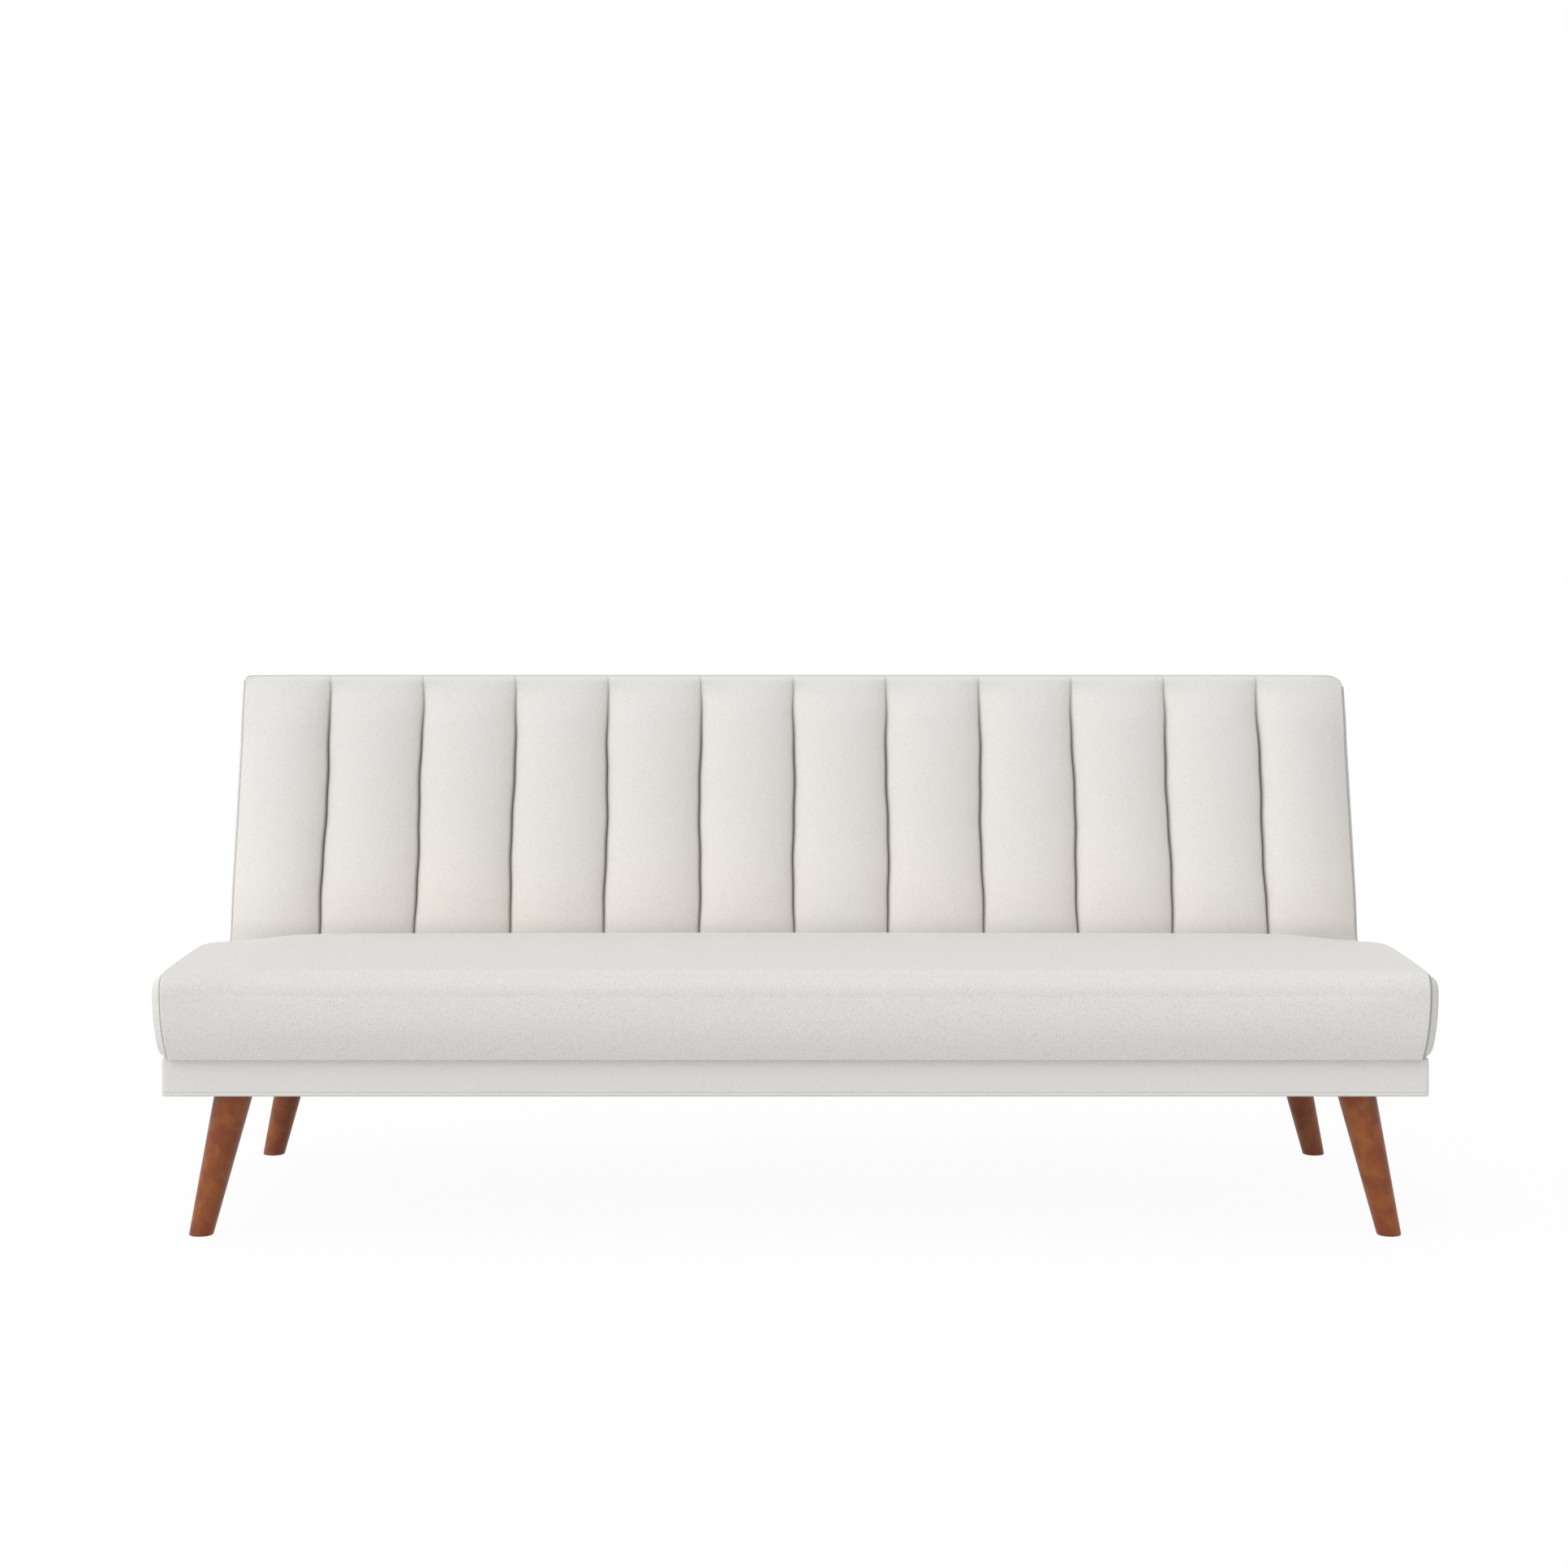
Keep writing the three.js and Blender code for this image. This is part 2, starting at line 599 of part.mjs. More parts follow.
function buildSeat() {
  const half = sofaWidth / 2;
  const seam = half - seatEndCrown;
  const shareFromSeam = [1, 0.97, 0.92, 0.84, 0.6, 0.3, 0];
  const crownShares = [0.5, 0.85, 1];
  const rightHalf = [
    ...shareFromSeam.map((share) => seam * share).reverse(),
    ...crownShares.map((share) => seam + seatEndCrown * share),
  ];
  const places = [...rightHalf.slice(1).map((x) => -x).reverse(), ...rightHalf];
  const shell = loft(places, places.map(seatOutline));
  leanEndsIn(shell);
  const outer = solidOf(shell);
  const coreTop = seatTop - seatTopFall - seatCornerFall - seatWadding;
  const cavity = block(-seatCoreEnd, seatCoreEnd, seatWadding, seatDepth - seatWadding,
    seatBottom - cutOverrun, coreTop);
  addPiece(base, 'seat_cushion', geometryOf(outer.subtract(solidOf(cavity))), fauxLeather);
  const g = touchGap;
  addPiece(base, 'seat_foam', block(-seatCoreEnd + g, seatCoreEnd - g, seatWadding + g,
    seatDepth - seatWadding - g, foamBottom, coreTop - g), foam);
}

// The edges of the back's channels: its two ends and the creases between them, from the left end on.
function channelEdges() {
  const pitch = (sofaWidth - 2 * endChannelWidth) / (channelCount - 2);
  const firstCrease = endChannelWidth - sofaWidth / 2;
  const creases = Array.from({ length: channelCount - 1 }, (_, number) => firstCrease + number * pitch);
  return [-sofaWidth / 2, ...creases, sofaWidth / 2];
}

// Channelled back cushion. At a place x across the back, the front face swells between the creases.
function channelSwell(x, share) {
  const edges = channelEdges();
  const channel = Math.max(0, edges.filter((place) => place < x).length - 1);
  const width = edges[channel + 1] - edges[channel];
  const across = channel + (x - edges[channel]) / width; // counts channels from the left end
  const inChannel = across - Math.floor(across);
  const edge = 1 - Math.abs(2 * inChannel - 1); // 0 at a crease and 1 at a channel's middle
  const fromEnd = Math.min(across, channelCount - across);
  const creased = (channelCrown + creaseDepth) * Math.sqrt(edge) - creaseDepth;
  const profile = fromEnd < plainEndShare ? 0 : creased;
  const length = backAbovePivot + backBelowPivot - backTopRadius - backFrontBottomRadius;
  const fromTop = share * length;
  const fromBottom = (1 - share) * length;
  return profile * smooth(fromTop / creaseTopTaper) * smooth(fromBottom / creaseBottomTaper);
}

function backOutline(x) {
  const half = sofaWidth / 2;
  const past = Math.max(0, Math.abs(x) - (half - backEndStretch)) / backEndStretch;
  const inset = backEndInset * (1 - Math.sqrt(Math.max(0, 1 - past * past)));
  const box = {
    y0: backFront + inset,
    y1: backRear - inset,
    z0: -backBelowPivot + inset,
    z1: backAbovePivot - inset,
  };
  const front = { places: channelFaceShares, swell: (share) => channelSwell(x, share) };
  const faces = [flatFace, flatFace, flatFace, front];
  const radii = [backFrontBottomRadius, backRearBottomRadius, backRearTopRadius, backTopRadius];
  return paddedOutline(box, radii, faces, backArcSteps);
}

// Free space round each hinge, open at the back's lower end and rear
function hingeSlot(side) {
  const width = slotOuterX - slotInnerX;
  const round = plate(disc(0, 0, slotRadius), side, slotInnerX, width);
  const open = plate(rectangle(-slotRadius + slotGap, backRear + cutOverrun,
    -backBelowPivot - cutOverrun, slotRadius - slotGap), side, slotInnerX, width);
  return solidOf(round).add(solidOf(open));
}

function buildBackCushion() {
  const half = sofaWidth / 2;
  const edges = channelEdges();
  const channelShares = [0, 0.14, 0.5, 0.86];
  const places = [half];
  for (let channel = 0; channel < channelCount; channel++) {
    const width = edges[channel + 1] - edges[channel];
    channelShares.forEach((share) => places.push(edges[channel] + share * width));
  }
  const endShares = [0.4, 1];
  const rounded = endShares.map((share) => half - backEndStretch * share);
  const all = [...places, ...rounded, ...rounded.map((x) => -x)].sort((a, b) => a - b);
  let cover = solidOf(loft(all, all.map(backOutline)));

  const cavityX = half - backSideWall;
  const cavityBottom = -backBelowPivot + backBottomWall;
  const cavityTop = backAbovePivot - backWadding;
  const coreFront = backFront + backWadding;
  const g = touchGap;
  const coreRear = timberFrontFace - webbingThickness - 2 * g;
  cover = cover.subtract(solidOf(block(-cavityX, cavityX, coreFront, coreRear + g, cavityBottom, cavityTop)));
  cover = cover.subtract(solidOf(block(-cavityX, cavityX, coreRear, backRear + cutOverrun,
    rearOpening, cavityTop)));
  let core = solidOf(block(-cavityX + g, cavityX - g, coreFront + g, coreRear,
    cavityBottom + g, cavityTop - g));
  let panel = solidOf(block(-cavityX + g, cavityX - g, panelFront, backRear - g,
    rearOpening + g, cavityTop - g));
  for (const [, side] of ends) {
    const slot = hingeSlot(side);
    cover = cover.subtract(slot);
    core = core.subtract(slot);
    panel = panel.subtract(slot);
  }
  addPiece(back, 'back_cushion', geometryOf(cover), fauxLeather);
  addPiece(back, 'back_foam', geometryOf(core), foam);
  addPiece(back, 'back_rear_panel', geometryOf(panel), fauxLeather);
}

// Timber frame and webbing inside the back
function buildBackFrame() {
  const g = touchGap;
  const y = [timberFrontFace, timberRearFace];
  const topRailTop = backAbovePivot - backWadding - g;
  const topRailBottom = topRailTop - backRailHeight;
  const bottomRailTop = slotTop + backRailHeight;
  const stileOuter = stileInner + backTimberThickness;
  const railEnd = armInner - g;
  const toeEnd = slotInnerX - g;
  const bottomRail = solidOf(block(-railEnd, railEnd, ...y, slotTop, bottomRailTop))
    .add(solidOf(block(-toeEnd, toeEnd, ...y, rearOpening + g, bottomRailTop)));
  addPiece(back, 'back_top_rail', block(-stileOuter, stileOuter, ...y, topRailBottom, topRailTop), timber);
  addPiece(back, 'back_bottom_rail', geometryOf(bottomRail), timber);
  for (const [end, side] of ends) {
    addPiece(back, `back_${end}_stile`,
      block(...spread(side, stileInner, stileOuter), ...y, slotTop, topRailBottom - g), timber);
    const innerPlace = stileInner * innerStileShare;
    const innerX = spread(side, innerPlace, innerPlace + backTimberThickness);
    addPiece(back, `back_inner_${end}_stile`,
      block(...innerX, ...y, bottomRailTop + g, topRailBottom - g), timber);
  }
  const strap = (x0, x1, z0, z1) => solidOf(block(x0, x1, timberFrontFace - g - webbingThickness,
    timberFrontFace - g, z0, z1));
  let straps = null;
  const join = (piece) => { straps = straps ? straps.add(piece) : piece; };
  for (let row = 1; row <= webbingRows; row++) {
    const z = bottomRailTop + (topRailBottom - bottomRailTop) * row / (webbingRows + 1);
    join(strap(-stileOuter, stileOuter, z - webbingWidth / 2, z + webbingWidth / 2));
  }
  for (let column = 1; column <= webbingColumns; column++) {
    const x = stileOuter * (2 * column / (webbingColumns + 1) - 1);
    join(strap(x - webbingWidth / 2, x + webbingWidth / 2, slotTop, topRailTop));
  }
  addPiece(back, 'back_webbing', geometryOf(straps), webbing);
}

// Click clack hinges. The bracket, cheek plate, pin and spring stay with the seat, and the arm turns with
// the back. A point at an angle and a radius round the pivot may lie a little further along the rim.
const atAngle = (degrees, radius, along = 0) => {
  const a = THREE.MathUtils.degToRad(degrees);
  return [radius * Math.cos(a) - along * Math.sin(a), radius * Math.sin(a) + along * Math.cos(a)];
};

// The toothed hub's outline in the back's own frame, with a notch for each recline position.
function ratchetOutline() {
  const stations = [
    { turn: 0, lead: releaseLead }, // sitting
    { turn: flatTurn / 2, lead: notchLead }, // lounging
    { turn: flatTurn, lead: notchLead }, // flat
  ];
  const sweep = THREE.MathUtils.radToDeg(noseHalfWidth / hubRadius) + notchWallAngle;
  const marks = [];
  for (const { turn, lead } of stations) {
    const nose = noseAngle + reclineAngle + turn;
    const rootStart = nose - sweep - lead;
    const rootEnd = nose + notchTrail;
    marks.push([rootStart - notchRampAngle, hubRadius], [rootStart, hubRoot]);
    marks.push([rootEnd, hubRoot], [rootEnd + notchWallAngle, hubRadius]);
  }
  const outline = [];
  marks.forEach(([angle, radius], i) => {
    outline.push(atAngle(angle, radius));
    const wrapped = [marks[0][0] + 360, hubRadius];
    const [nextAngle, nextRadius] = i + 1 < marks.length ? marks[i + 1] : wrapped;
    if (radius !== nextRadius) return;
    const steps = Math.max(1, Math.round((nextAngle - angle) / rimStepAngle));
    for (let step = 1; step < steps; step++) {
      outline.push(atAngle(angle + (nextAngle - angle) * step / steps, radius));
    }
  });
  return outline;
}

function hingeArm(side) {
  const near = (timberFrontFace + timberRearFace - armWidth) / 2;
  const far = near + armWidth;
  const neck = polygon([
    atAngle(neckFrontAngle, hubRoot), atAngle(neckRearAngle, hubRoot),
    [far, armNeck], [far, armNeck + touchGap], [near, armNeck + touchGap], [near, armNeck],
  ]);
  const strap = rectangle(near, far, armNeck, armLength - armWidth / 2);
  const thick = (shape) => solidOf(plate(shape, side, armInner, plateThickness));
  const hole = (y, z, radius) => solidOf(plate(disc(y, z, radius), side, armInner - cutOverrun,
    plateThickness + 2 * cutOverrun));
  const middle = (near + far) / 2;
  let arm = thick(polygon(ratchetOutline())).add(thick(neck)).add(thick(strap));
  arm = arm.add(thick(disc(middle, armLength - armWidth / 2, armWidth / 2)));
  arm = arm.subtract(hole(0, 0, pinRadius + touchGap));
  for (let i = 0; i < armHoleCount; i++) {
    arm = arm.subtract(hole(middle, armLength - armWidth / 2 - i * armHoleSpacing, bracketHoleRadius));
  }
  return arm;
}

// The bracket's upright rises from the bearer to the pivot; its foot is bolted along the bearer.
function hingeBracket(side) {
  const footBottom = timberBottom + bracketFootInset - pivot.z;
  const footTop = footBottom + bracketFootHeight;
  const footRear = rearRailInner - 2 * touchGap - pivot.y;
  const upright = polygon([
    [-bracketUprightFront, footTop], [footRear, footTop],
    [bracketHalfWidth, 0], [-bracketHalfWidth, 0],
  ]);
  const foot = rectangle(-bracketFootFront, footRear, footBottom, footTop + touchGap);
  const thick = (shape, from, thickness) => solidOf(plate(shape, side, from, thickness));
  let bracket = thick(upright, bracketInner, plateThickness).add(thick(foot, bracketInner, plateThickness));
  bracket = bracket.add(thick(disc(0, 0, bracketHalfWidth), bracketInner, plateThickness));
  const postLength = cheekInner + cheekThickness + touchGap - bracketInner;
  bracket = bracket.add(thick(disc(-pawlPinForward, -pawlPinBelow, pawlPinRadius), bracketInner, postLength));
  bracket = bracket.add(thick(disc(spacerRearward, -spacerBelow, spacerRadius), bracketInner, postLength));
  const hole = (y, z, radius) => thick(disc(y, z, radius), bracketInner - cutOverrun,
    plateThickness + 2 * cutOverrun);
  bracket = bracket.subtract(hole(0, 0, pinRadius + touchGap));
  const spacing = (bracketFootFront + footRear) / bracketHoleCount;
  for (let i = 0; i < bracketHoleCount; i++) {
    const y = -bracketFootFront + spacing * (i + 0.5);
    bracket = bracket.subtract(hole(y, footBottom + bracketFootHeight / 2, bracketHoleRadius));
  }
  return bracket;
}

function hingeCheek(side) {
  const low = -spacerBelow - spacerRadius * 2;
  const body = polygon([
    [-cheekRadius, 0], [-pawlPinForward - pawlBossRadius, low], [spacerRearward + spacerRadius * 2, low],
    [cheekRadius, 0],
  ]);
  const thick = (shape) => solidOf(plate(shape, side, cheekInner, cheekThickness));
  const hole = (y, z, radius) => solidOf(plate(disc(y, z, radius + touchGap), side,
    cheekInner - cutOverrun, cheekThickness + 2 * cutOverrun));
  return thick(body).add(thick(disc(0, 0, cheekRadius)))
    .subtract(hole(0, 0, pinRadius))
    .subtract(hole(-pawlPinForward, -pawlPinBelow, pawlPinRadius))
    .subtract(hole(spacerRearward, -spacerBelow, spacerRadius));
}

function hingePin(side) {
  const headInner = cheekInner + cheekThickness + touchGap;
  const nutInner = bracketInner - touchGap - pinNutThickness;
  const thick = (radius, from, to, segments) =>
    solidOf(plate(disc(0, 0, radius), side, from, to - from, segments));
  return thick(pinRadius, nutInner, headInner + pinHeadThickness, boltSides)
    .add(thick(pinHeadRadius, headInner, headInner + pinHeadThickness, boltSides))
    .add(thick(pinHeadRadius, nutInner, nutInner + pinNutThickness, nutSides / 2));
}

// The pawl is held off the hub here; it drops into a notch when it turns towards the pivot.
function pawl(side) {
  const tip = hubRadius + noseClearance;
  const shoulder = tip + noseHeight;
  const pin = [-pawlPinForward, -pawlPinBelow];
  const flank = pawlFlankShares.map((share) => share * pawlBossRadius);
  const lever = polygon([
    atAngle(noseAngle, tip, -noseHalfWidth), atAngle(noseAngle, shoulder, -noseHalfWidth),
    [pin[0] - flank[0], pin[1] + flank[1]], [pin[0] + flank[0], pin[1] - flank[1]],
    atAngle(noseAngle, shoulder + pawlBossRadius, pawlTail), atAngle(noseAngle, tip, noseHalfWidth),
  ]);
  const thick = (shape) => solidOf(plate(shape, side, armInner, plateThickness));
  const hole = solidOf(plate(disc(...pin, pawlPinRadius + touchGap), side, armInner - cutOverrun,
    plateThickness + 2 * cutOverrun));
  return thick(lever).add(thick(disc(...pin, pawlBossRadius))).subtract(hole);
}

// A bent leaf spring that lies along the pawl's underside; its foot stands on the bracket.
function pawlSpring(side) {
  const heelRadius = hubRadius + noseClearance + noseHeight + pawlBossRadius;
  const [heelY, heelZ] = atAngle(noseAngle, heelRadius, pawlTail);
  const under = -pawlPinBelow - pawlBossRadius - touchGap;
  const t = pawlSpringThickness;
  const bend = -pawlPinForward + pawlBossRadius * pawlFlankShares[0];
  const foot = -pawlPinForward - pawlBossRadius - 2 * touchGap - t;
  const rise = heelZ - t;
  const leaf = polygon([
    [foot, under - t], [bend, under - t], [heelY, rise - t], [heelY, rise], [bend, under],
    [foot + t, under], [foot + t, under + pawlSpringFoot], [foot, under + pawlSpringFoot],
  ]);
  return solidOf(plate(leaf, side, armInner - plateGap + touchGap, plateThickness));
}

function buildHinges() {
  for (const [end, side] of ends) {
    const onPivot = (name, solid, material) => {
      addPiece(base, name, geometryOf(solid), material).position.copy(pivot);
    };
    onPivot(`hinge_bracket_${end}`, hingeBracket(side), steel);
    onPivot(`hinge_cheek_${end}`, hingeCheek(side), steel);
    onPivot(`hinge_pin_${end}`, hingePin(side), zincSteel);
    onPivot(`hinge_pawl_${end}`, pawl(side), zincSteel);
    onPivot(`pawl_spring_${end}`, pawlSpring(side), springSteel);
    addPiece(back, `hinge_arm_${end}`, geometryOf(hingeArm(side)), steel);
  }
}

buildFrame();
buildRailCovers();
buildLegs();
buildDustCover();
buildSprings();
buildSeat();
buildBackCushion();
buildBackFrame();
buildHinges();

// The origin lies on the floor, in the middle of the sofa's length from its front to the back's rear edge.
sofa.updateMatrixWorld(true);
const extent = new THREE.Box3().setFromObject(sofa, true);
sofa.position.y = -(extent.min.y + extent.max.y) / 2;

export default sofa;
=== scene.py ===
import json
import math

import bpy
import numpy as np
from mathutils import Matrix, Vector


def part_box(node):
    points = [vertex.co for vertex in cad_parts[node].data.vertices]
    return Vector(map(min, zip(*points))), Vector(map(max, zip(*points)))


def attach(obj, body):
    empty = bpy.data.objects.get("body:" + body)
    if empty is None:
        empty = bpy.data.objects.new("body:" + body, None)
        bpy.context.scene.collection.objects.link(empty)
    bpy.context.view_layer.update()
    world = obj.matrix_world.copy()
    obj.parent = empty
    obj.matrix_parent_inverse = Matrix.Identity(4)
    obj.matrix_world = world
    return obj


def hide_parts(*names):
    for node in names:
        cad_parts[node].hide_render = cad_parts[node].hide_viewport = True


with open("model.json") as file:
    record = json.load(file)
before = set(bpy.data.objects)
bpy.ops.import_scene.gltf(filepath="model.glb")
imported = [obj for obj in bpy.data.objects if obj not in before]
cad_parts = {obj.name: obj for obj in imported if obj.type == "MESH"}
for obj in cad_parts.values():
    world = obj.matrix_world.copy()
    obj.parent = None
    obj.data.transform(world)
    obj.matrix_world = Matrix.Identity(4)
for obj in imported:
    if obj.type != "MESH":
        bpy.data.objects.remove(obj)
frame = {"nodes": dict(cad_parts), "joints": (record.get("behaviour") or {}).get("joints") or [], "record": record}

# The looks of a click clack sofa bed, dressed over its fixed model. The sofa faces -Y and stands on z = 0.

bl_info = {
    "name": "Click clack sofa bed",
    "version": (1, 0, 0),
    "blender": (4, 5, 0),
    "location": "3D View > Sidebar > Sofa",
    "description": "Dresses the model of a click clack sofa bed in faux leather, foam, wood and steel",
    "category": "Object",
}

MM = 0.001
WELD_DISTANCE = 0.001 * MM
SEAM_CROWN = 3 * MM  # how far a cover rises beside the seams at its ends
ON_LINE = 0.1 * MM  # a point nearer than this to a crease or a seam lies on it
BACK_SEAM_SHADE = 0.55  # how dark the thread and painted shade in the seams round the back's end panels are
ARC_STEPS = 6  # stretches in each rounded corner of a cover's outline
BOTTOM, REAR, TOP, FRONT = range(4)  # the faces of a padded outline
FRONT_BOTTOM, REAR_BOTTOM, FRONT_TOP = -1, -2, -4  # and three of its corners
CORNERS = (("front_left", -1), ("front_right", 1), ("rear_left", -1), ("rear_right", 1))


def linear(hex_colour):
    """The linear colour of an sRGB hex value."""
    channels = [int(hex_colour[i:i + 2], 16) / 255 for i in (1, 3, 5)]
    return [c / 12.92 if c <= 0.04045 else ((c + 0.055) / 1.055) ** 2.4 for c in channels]


def length_property(name, description, millimetres):
    return bpy.props.FloatProperty(name=name, description=description, default=millimetres * MM,
                                   min=0.0, unit="LENGTH", subtype="DISTANCE")


def colour_property(name, description, hex_colour):
    return bpy.props.FloatVectorProperty(name=name, description=description, default=linear(hex_colour),
                                         min=0.0, max=1.0, size=3, subtype="COLOR")


class SofaSizes(bpy.types.PropertyGroup):
    """Sizes of the padded pieces that a user may change."""
    channel_count: bpy.props.IntProperty(
        name="Channels", description="Upright channels sewn into the back", default=12, min=2)
    end_channel: length_property("End channel", "Width of the channel at each end of the back", 145)
    channel_crown: length_property("Channel crown", "How far a channel swells out of the back's plane", 8)
    crease_depth: length_property("Crease depth", "How deep the back is sewn down between channels", 20)
    crease_wander: length_property("Crease wander", "How far a sewn crease strays from its line", 1.5)
    seat_end_crown: length_property("Seat end crown", "How far the seat's end panels bulge", 14)
    seat_front_crown: length_property("Seat front crown", "How far the seat's front swells", 4)
    seat_top_crown: length_property("Seat top crown", "How far the seat's top swells", 5)
    seat_tuck: length_property("Seat tuck", "How far the seat's front draws in at its foot", 4)
    leather_thickness: length_property("Cover", "Thickness of the faux leather and its backing", 2)
    recline: bpy.props.FloatProperty(
        name="Recline", description="The back's lean from upright in the sitting position",
        default=math.radians(17), subtype="ANGLE")


class LegSizes(bpy.types.PropertyGroup):
    """Sizes of the turned legs, which their CAD nodes share."""
    top_radius: length_property("Top radius", "Square to the leg's axis, at the frame's underside", 27.3)
    foot_radius: length_property("Foot radius", "Square to the leg's axis, at the floor", 17)
    splay: length_property("Splay", "How far the foot lies further out than the top", 48.5)
    bolt_radius: length_property("Bolt hole", "Radius of the hole down the leg's top", 4.5)
    bolt_depth: length_property("Bolt depth", "Depth of that hole", 36)


class SofaColours(bpy.types.PropertyGroup):
    """Colours of the sofa's materials."""
    leather: colour_property("Leather", "Pale warm grey of the faux leather", "#E5E3DF")
    leather_warm: colour_property("Warm leather", "Creamier patches of the faux leather", "#EAE5DE")
    # The seam colour is also what painted shade blends towards: in creases, seams, the gap over the seat, along
    # the back's top edge and in the grain's hollows.
    seam: colour_property("Seam", "Thread and shade at the bottom of a seam", "#5A5752")
    stain: colour_property("Leg stain", "Orange brown stain of the legs", "#975524")
    stain_red: colour_property("Red leg stain", "Redder patches of the legs", "#86411F")
    stain_dark: colour_property("Dark leg stain", "Darker figure of the legs", "#6A361C")
    timber: colour_property("Timber", "Planed pine of the hidden frames", "#CBAA7A")
    foam: colour_property("Foam", "Polyurethane foam of the cores", "#E9E2C6")


class SofaStage(bpy.types.PropertyGroup):
    """The camera and the studio round the sofa."""
    lens: bpy.props.FloatProperty(name="Lens", description="Focal length on a 36 mm sensor",
                                  default=64.45, unit="CAMERA")
    camera_distance: length_property("Camera distance", "From the sofa's middle, along Y", 4397.5)
    camera_height: length_property("Camera height", "Over the floor", 931)
    camera_left: length_property("Camera left", "How far the camera stands to the left of the middle", 16)
    key_light: bpy.props.FloatProperty(
        name="Key light", description="Strength of the broad lamp at the front's left", default=0.4, min=0.0)
    ambient: bpy.props.FloatProperty(
        name="Ambient", description="Mean strength of the light from all round", default=0.92, min=0.0)
    slant: bpy.props.FloatVectorProperty(
        name="Slant", description="How much stronger the light is from +X, +Y and +Z, as a share of it",
        default=(-0.65, -0.15, -0.05), size=3)


# Shapes: each is a function of two parameters, worked out for the whole grid at once

def smooth(t):
    """0 up to t = 0, 1 from t = 1 on, and 3 t^2 - 2 t^3 between them."""
    t = np.clip(t, 0.0, 1.0)
    return t * t * (3.0 - 2.0 * t)


def roll(distance, radius):
    """A quarter circle's height over its edge: 0 at distance 0 and 1 from one radius on."""
    t = np.clip(distance / radius, 0.0, 1.0)
    return np.sqrt(1.0 - (1.0 - t) ** 2)


def between(count):
    """The shares that cut a face into count equal stretches, without its two ends."""
    return np.linspace(0.0, 1.0, count + 1)[1:-1]


def padded_outline(low, high, bottom, top, radii, face_shares, arc_steps):
    """Rounded rectangles in y and z, one for each row of low, high, bottom and top.
    Each runs counter-clockwise as seen from +X, from the front: the corners are quarter circles, in the
    order front bottom, rear bottom, rear top and front top, and face_shares says where the bottom, rear,
    top and front faces have points between them. Returns y and z as rows by columns, the face that each
    column lies on, or -1 less the corner's number, and its share of the way along that face or arc."""
    centre_y = [low + radii[0], high - radii[1], high - radii[2], low + radii[3]]
    centre_z = [bottom + radii[0], bottom + radii[1], top - radii[2], top - radii[3]]
    ys, zs, faces, shares = [], [], [], []
    for corner, (outward_y, outward_z) in enumerate(((0, -1), (1, 0), (0, 1), (-1, 0))):
        after = (corner + 1) % 4
        turn = np.linspace(0.0, 1.0, arc_steps + 1)
        angle = math.pi + (corner + turn) * math.pi / 2
        ys.append(centre_y[corner] + radii[corner] * np.cos(angle))
        zs.append(centre_z[corner] + radii[corner] * np.sin(angle))
        start_y = centre_y[corner] + radii[corner] * outward_y
        start_z = centre_z[corner] + radii[corner] * outward_z
        end_y = centre_y[after] + radii[after] * outward_y
        end_z = centre_z[after] + radii[after] * outward_z
        share = np.asarray(face_shares[corner])
        ys.append(start_y + (end_y - start_y) * share)
        zs.append(start_z + (end_z - start_z) * share)
        faces += [-1 - corner] * (arc_steps + 1) + [corner] * len(share)
        shares += list(turn) + list(share)
    return np.hstack(ys), np.hstack(zs), np.array(faces), np.array(shares)


def fill_ring(ring, face_shares, arc_steps):
    """A Coons patch inside a padded outline: the two ruled surfaces between opposite sides, less the
    bilinear one. Rows run from the bottom to the top and columns from the front to the rear."""
    blocks = np.cumsum([0] + [arc_steps + 1 + len(shares) for shares in face_shares])
    corner = blocks[:4] + arc_steps // 2
    low_side = ring[corner[0]:corner[1] + 1]
    rear_side = ring[corner[1]:corner[2] + 1]
    top_side = ring[corner[2]:corner[3] + 1][::-1]
    front_side = np.vstack([ring[corner[3]:], ring[:corner[0] + 1]])[::-1]
    u = np.linspace(0.0, 1.0, len(low_side))[None, :, None]
    v = np.linspace(0.0, 1.0, len(rear_side))[:, None, None]
    ruled = (1 - v) * low_side + v * top_side + (1 - u) * front_side[:, None] + u * rear_side[:, None]
    flat = (1 - v) * ((1 - u) * low_side[0] + u * low_side[-1])
    flat = flat + v * ((1 - u) * top_side[0] + u * top_side[-1])
    return ruled - flat


def grid_faces(rows, columns, closed=False, inside_out=False):
    """The quads of a grid, as rows of four vertex numbers."""
    i = np.arange(rows - 1)[:, None] * columns
    j = np.arange(columns if closed else columns - 1)[None, :]
    k = (j + 1) % columns
    quads = np.stack([i + j, i + k, i + columns + k, i + columns + j], -1).reshape(-1, 4)
    return quads[:, ::-1] if inside_out else quads


def join(patches):
    """One body from patches of points, faces and values: points that meet are welded, and points that no
    face uses are dropped."""
    starts = np.cumsum([0] + [len(part["points"]) for part in patches])
    points = np.vstack([part["points"] for part in patches])
    faces = np.vstack([part["faces"] + start for part, start in zip(patches, starts)])
    names = patches[0]["values"]
    values = {name: np.concatenate([part["values"][name] for part in patches]) for name in names}
    keys = np.round(points / WELD_DISTANCE).astype(np.int64)
    _, first, inverse = np.unique(keys, axis=0, return_index=True, return_inverse=True)
    faces = inverse.reshape(-1)[faces]
    used, renumbered = np.unique(faces, return_inverse=True)
    keep = first[used]
    return {"points": points[keep], "faces": renumbered.reshape(faces.shape),
            "values": {name: v[keep] for name, v in values.items()}}


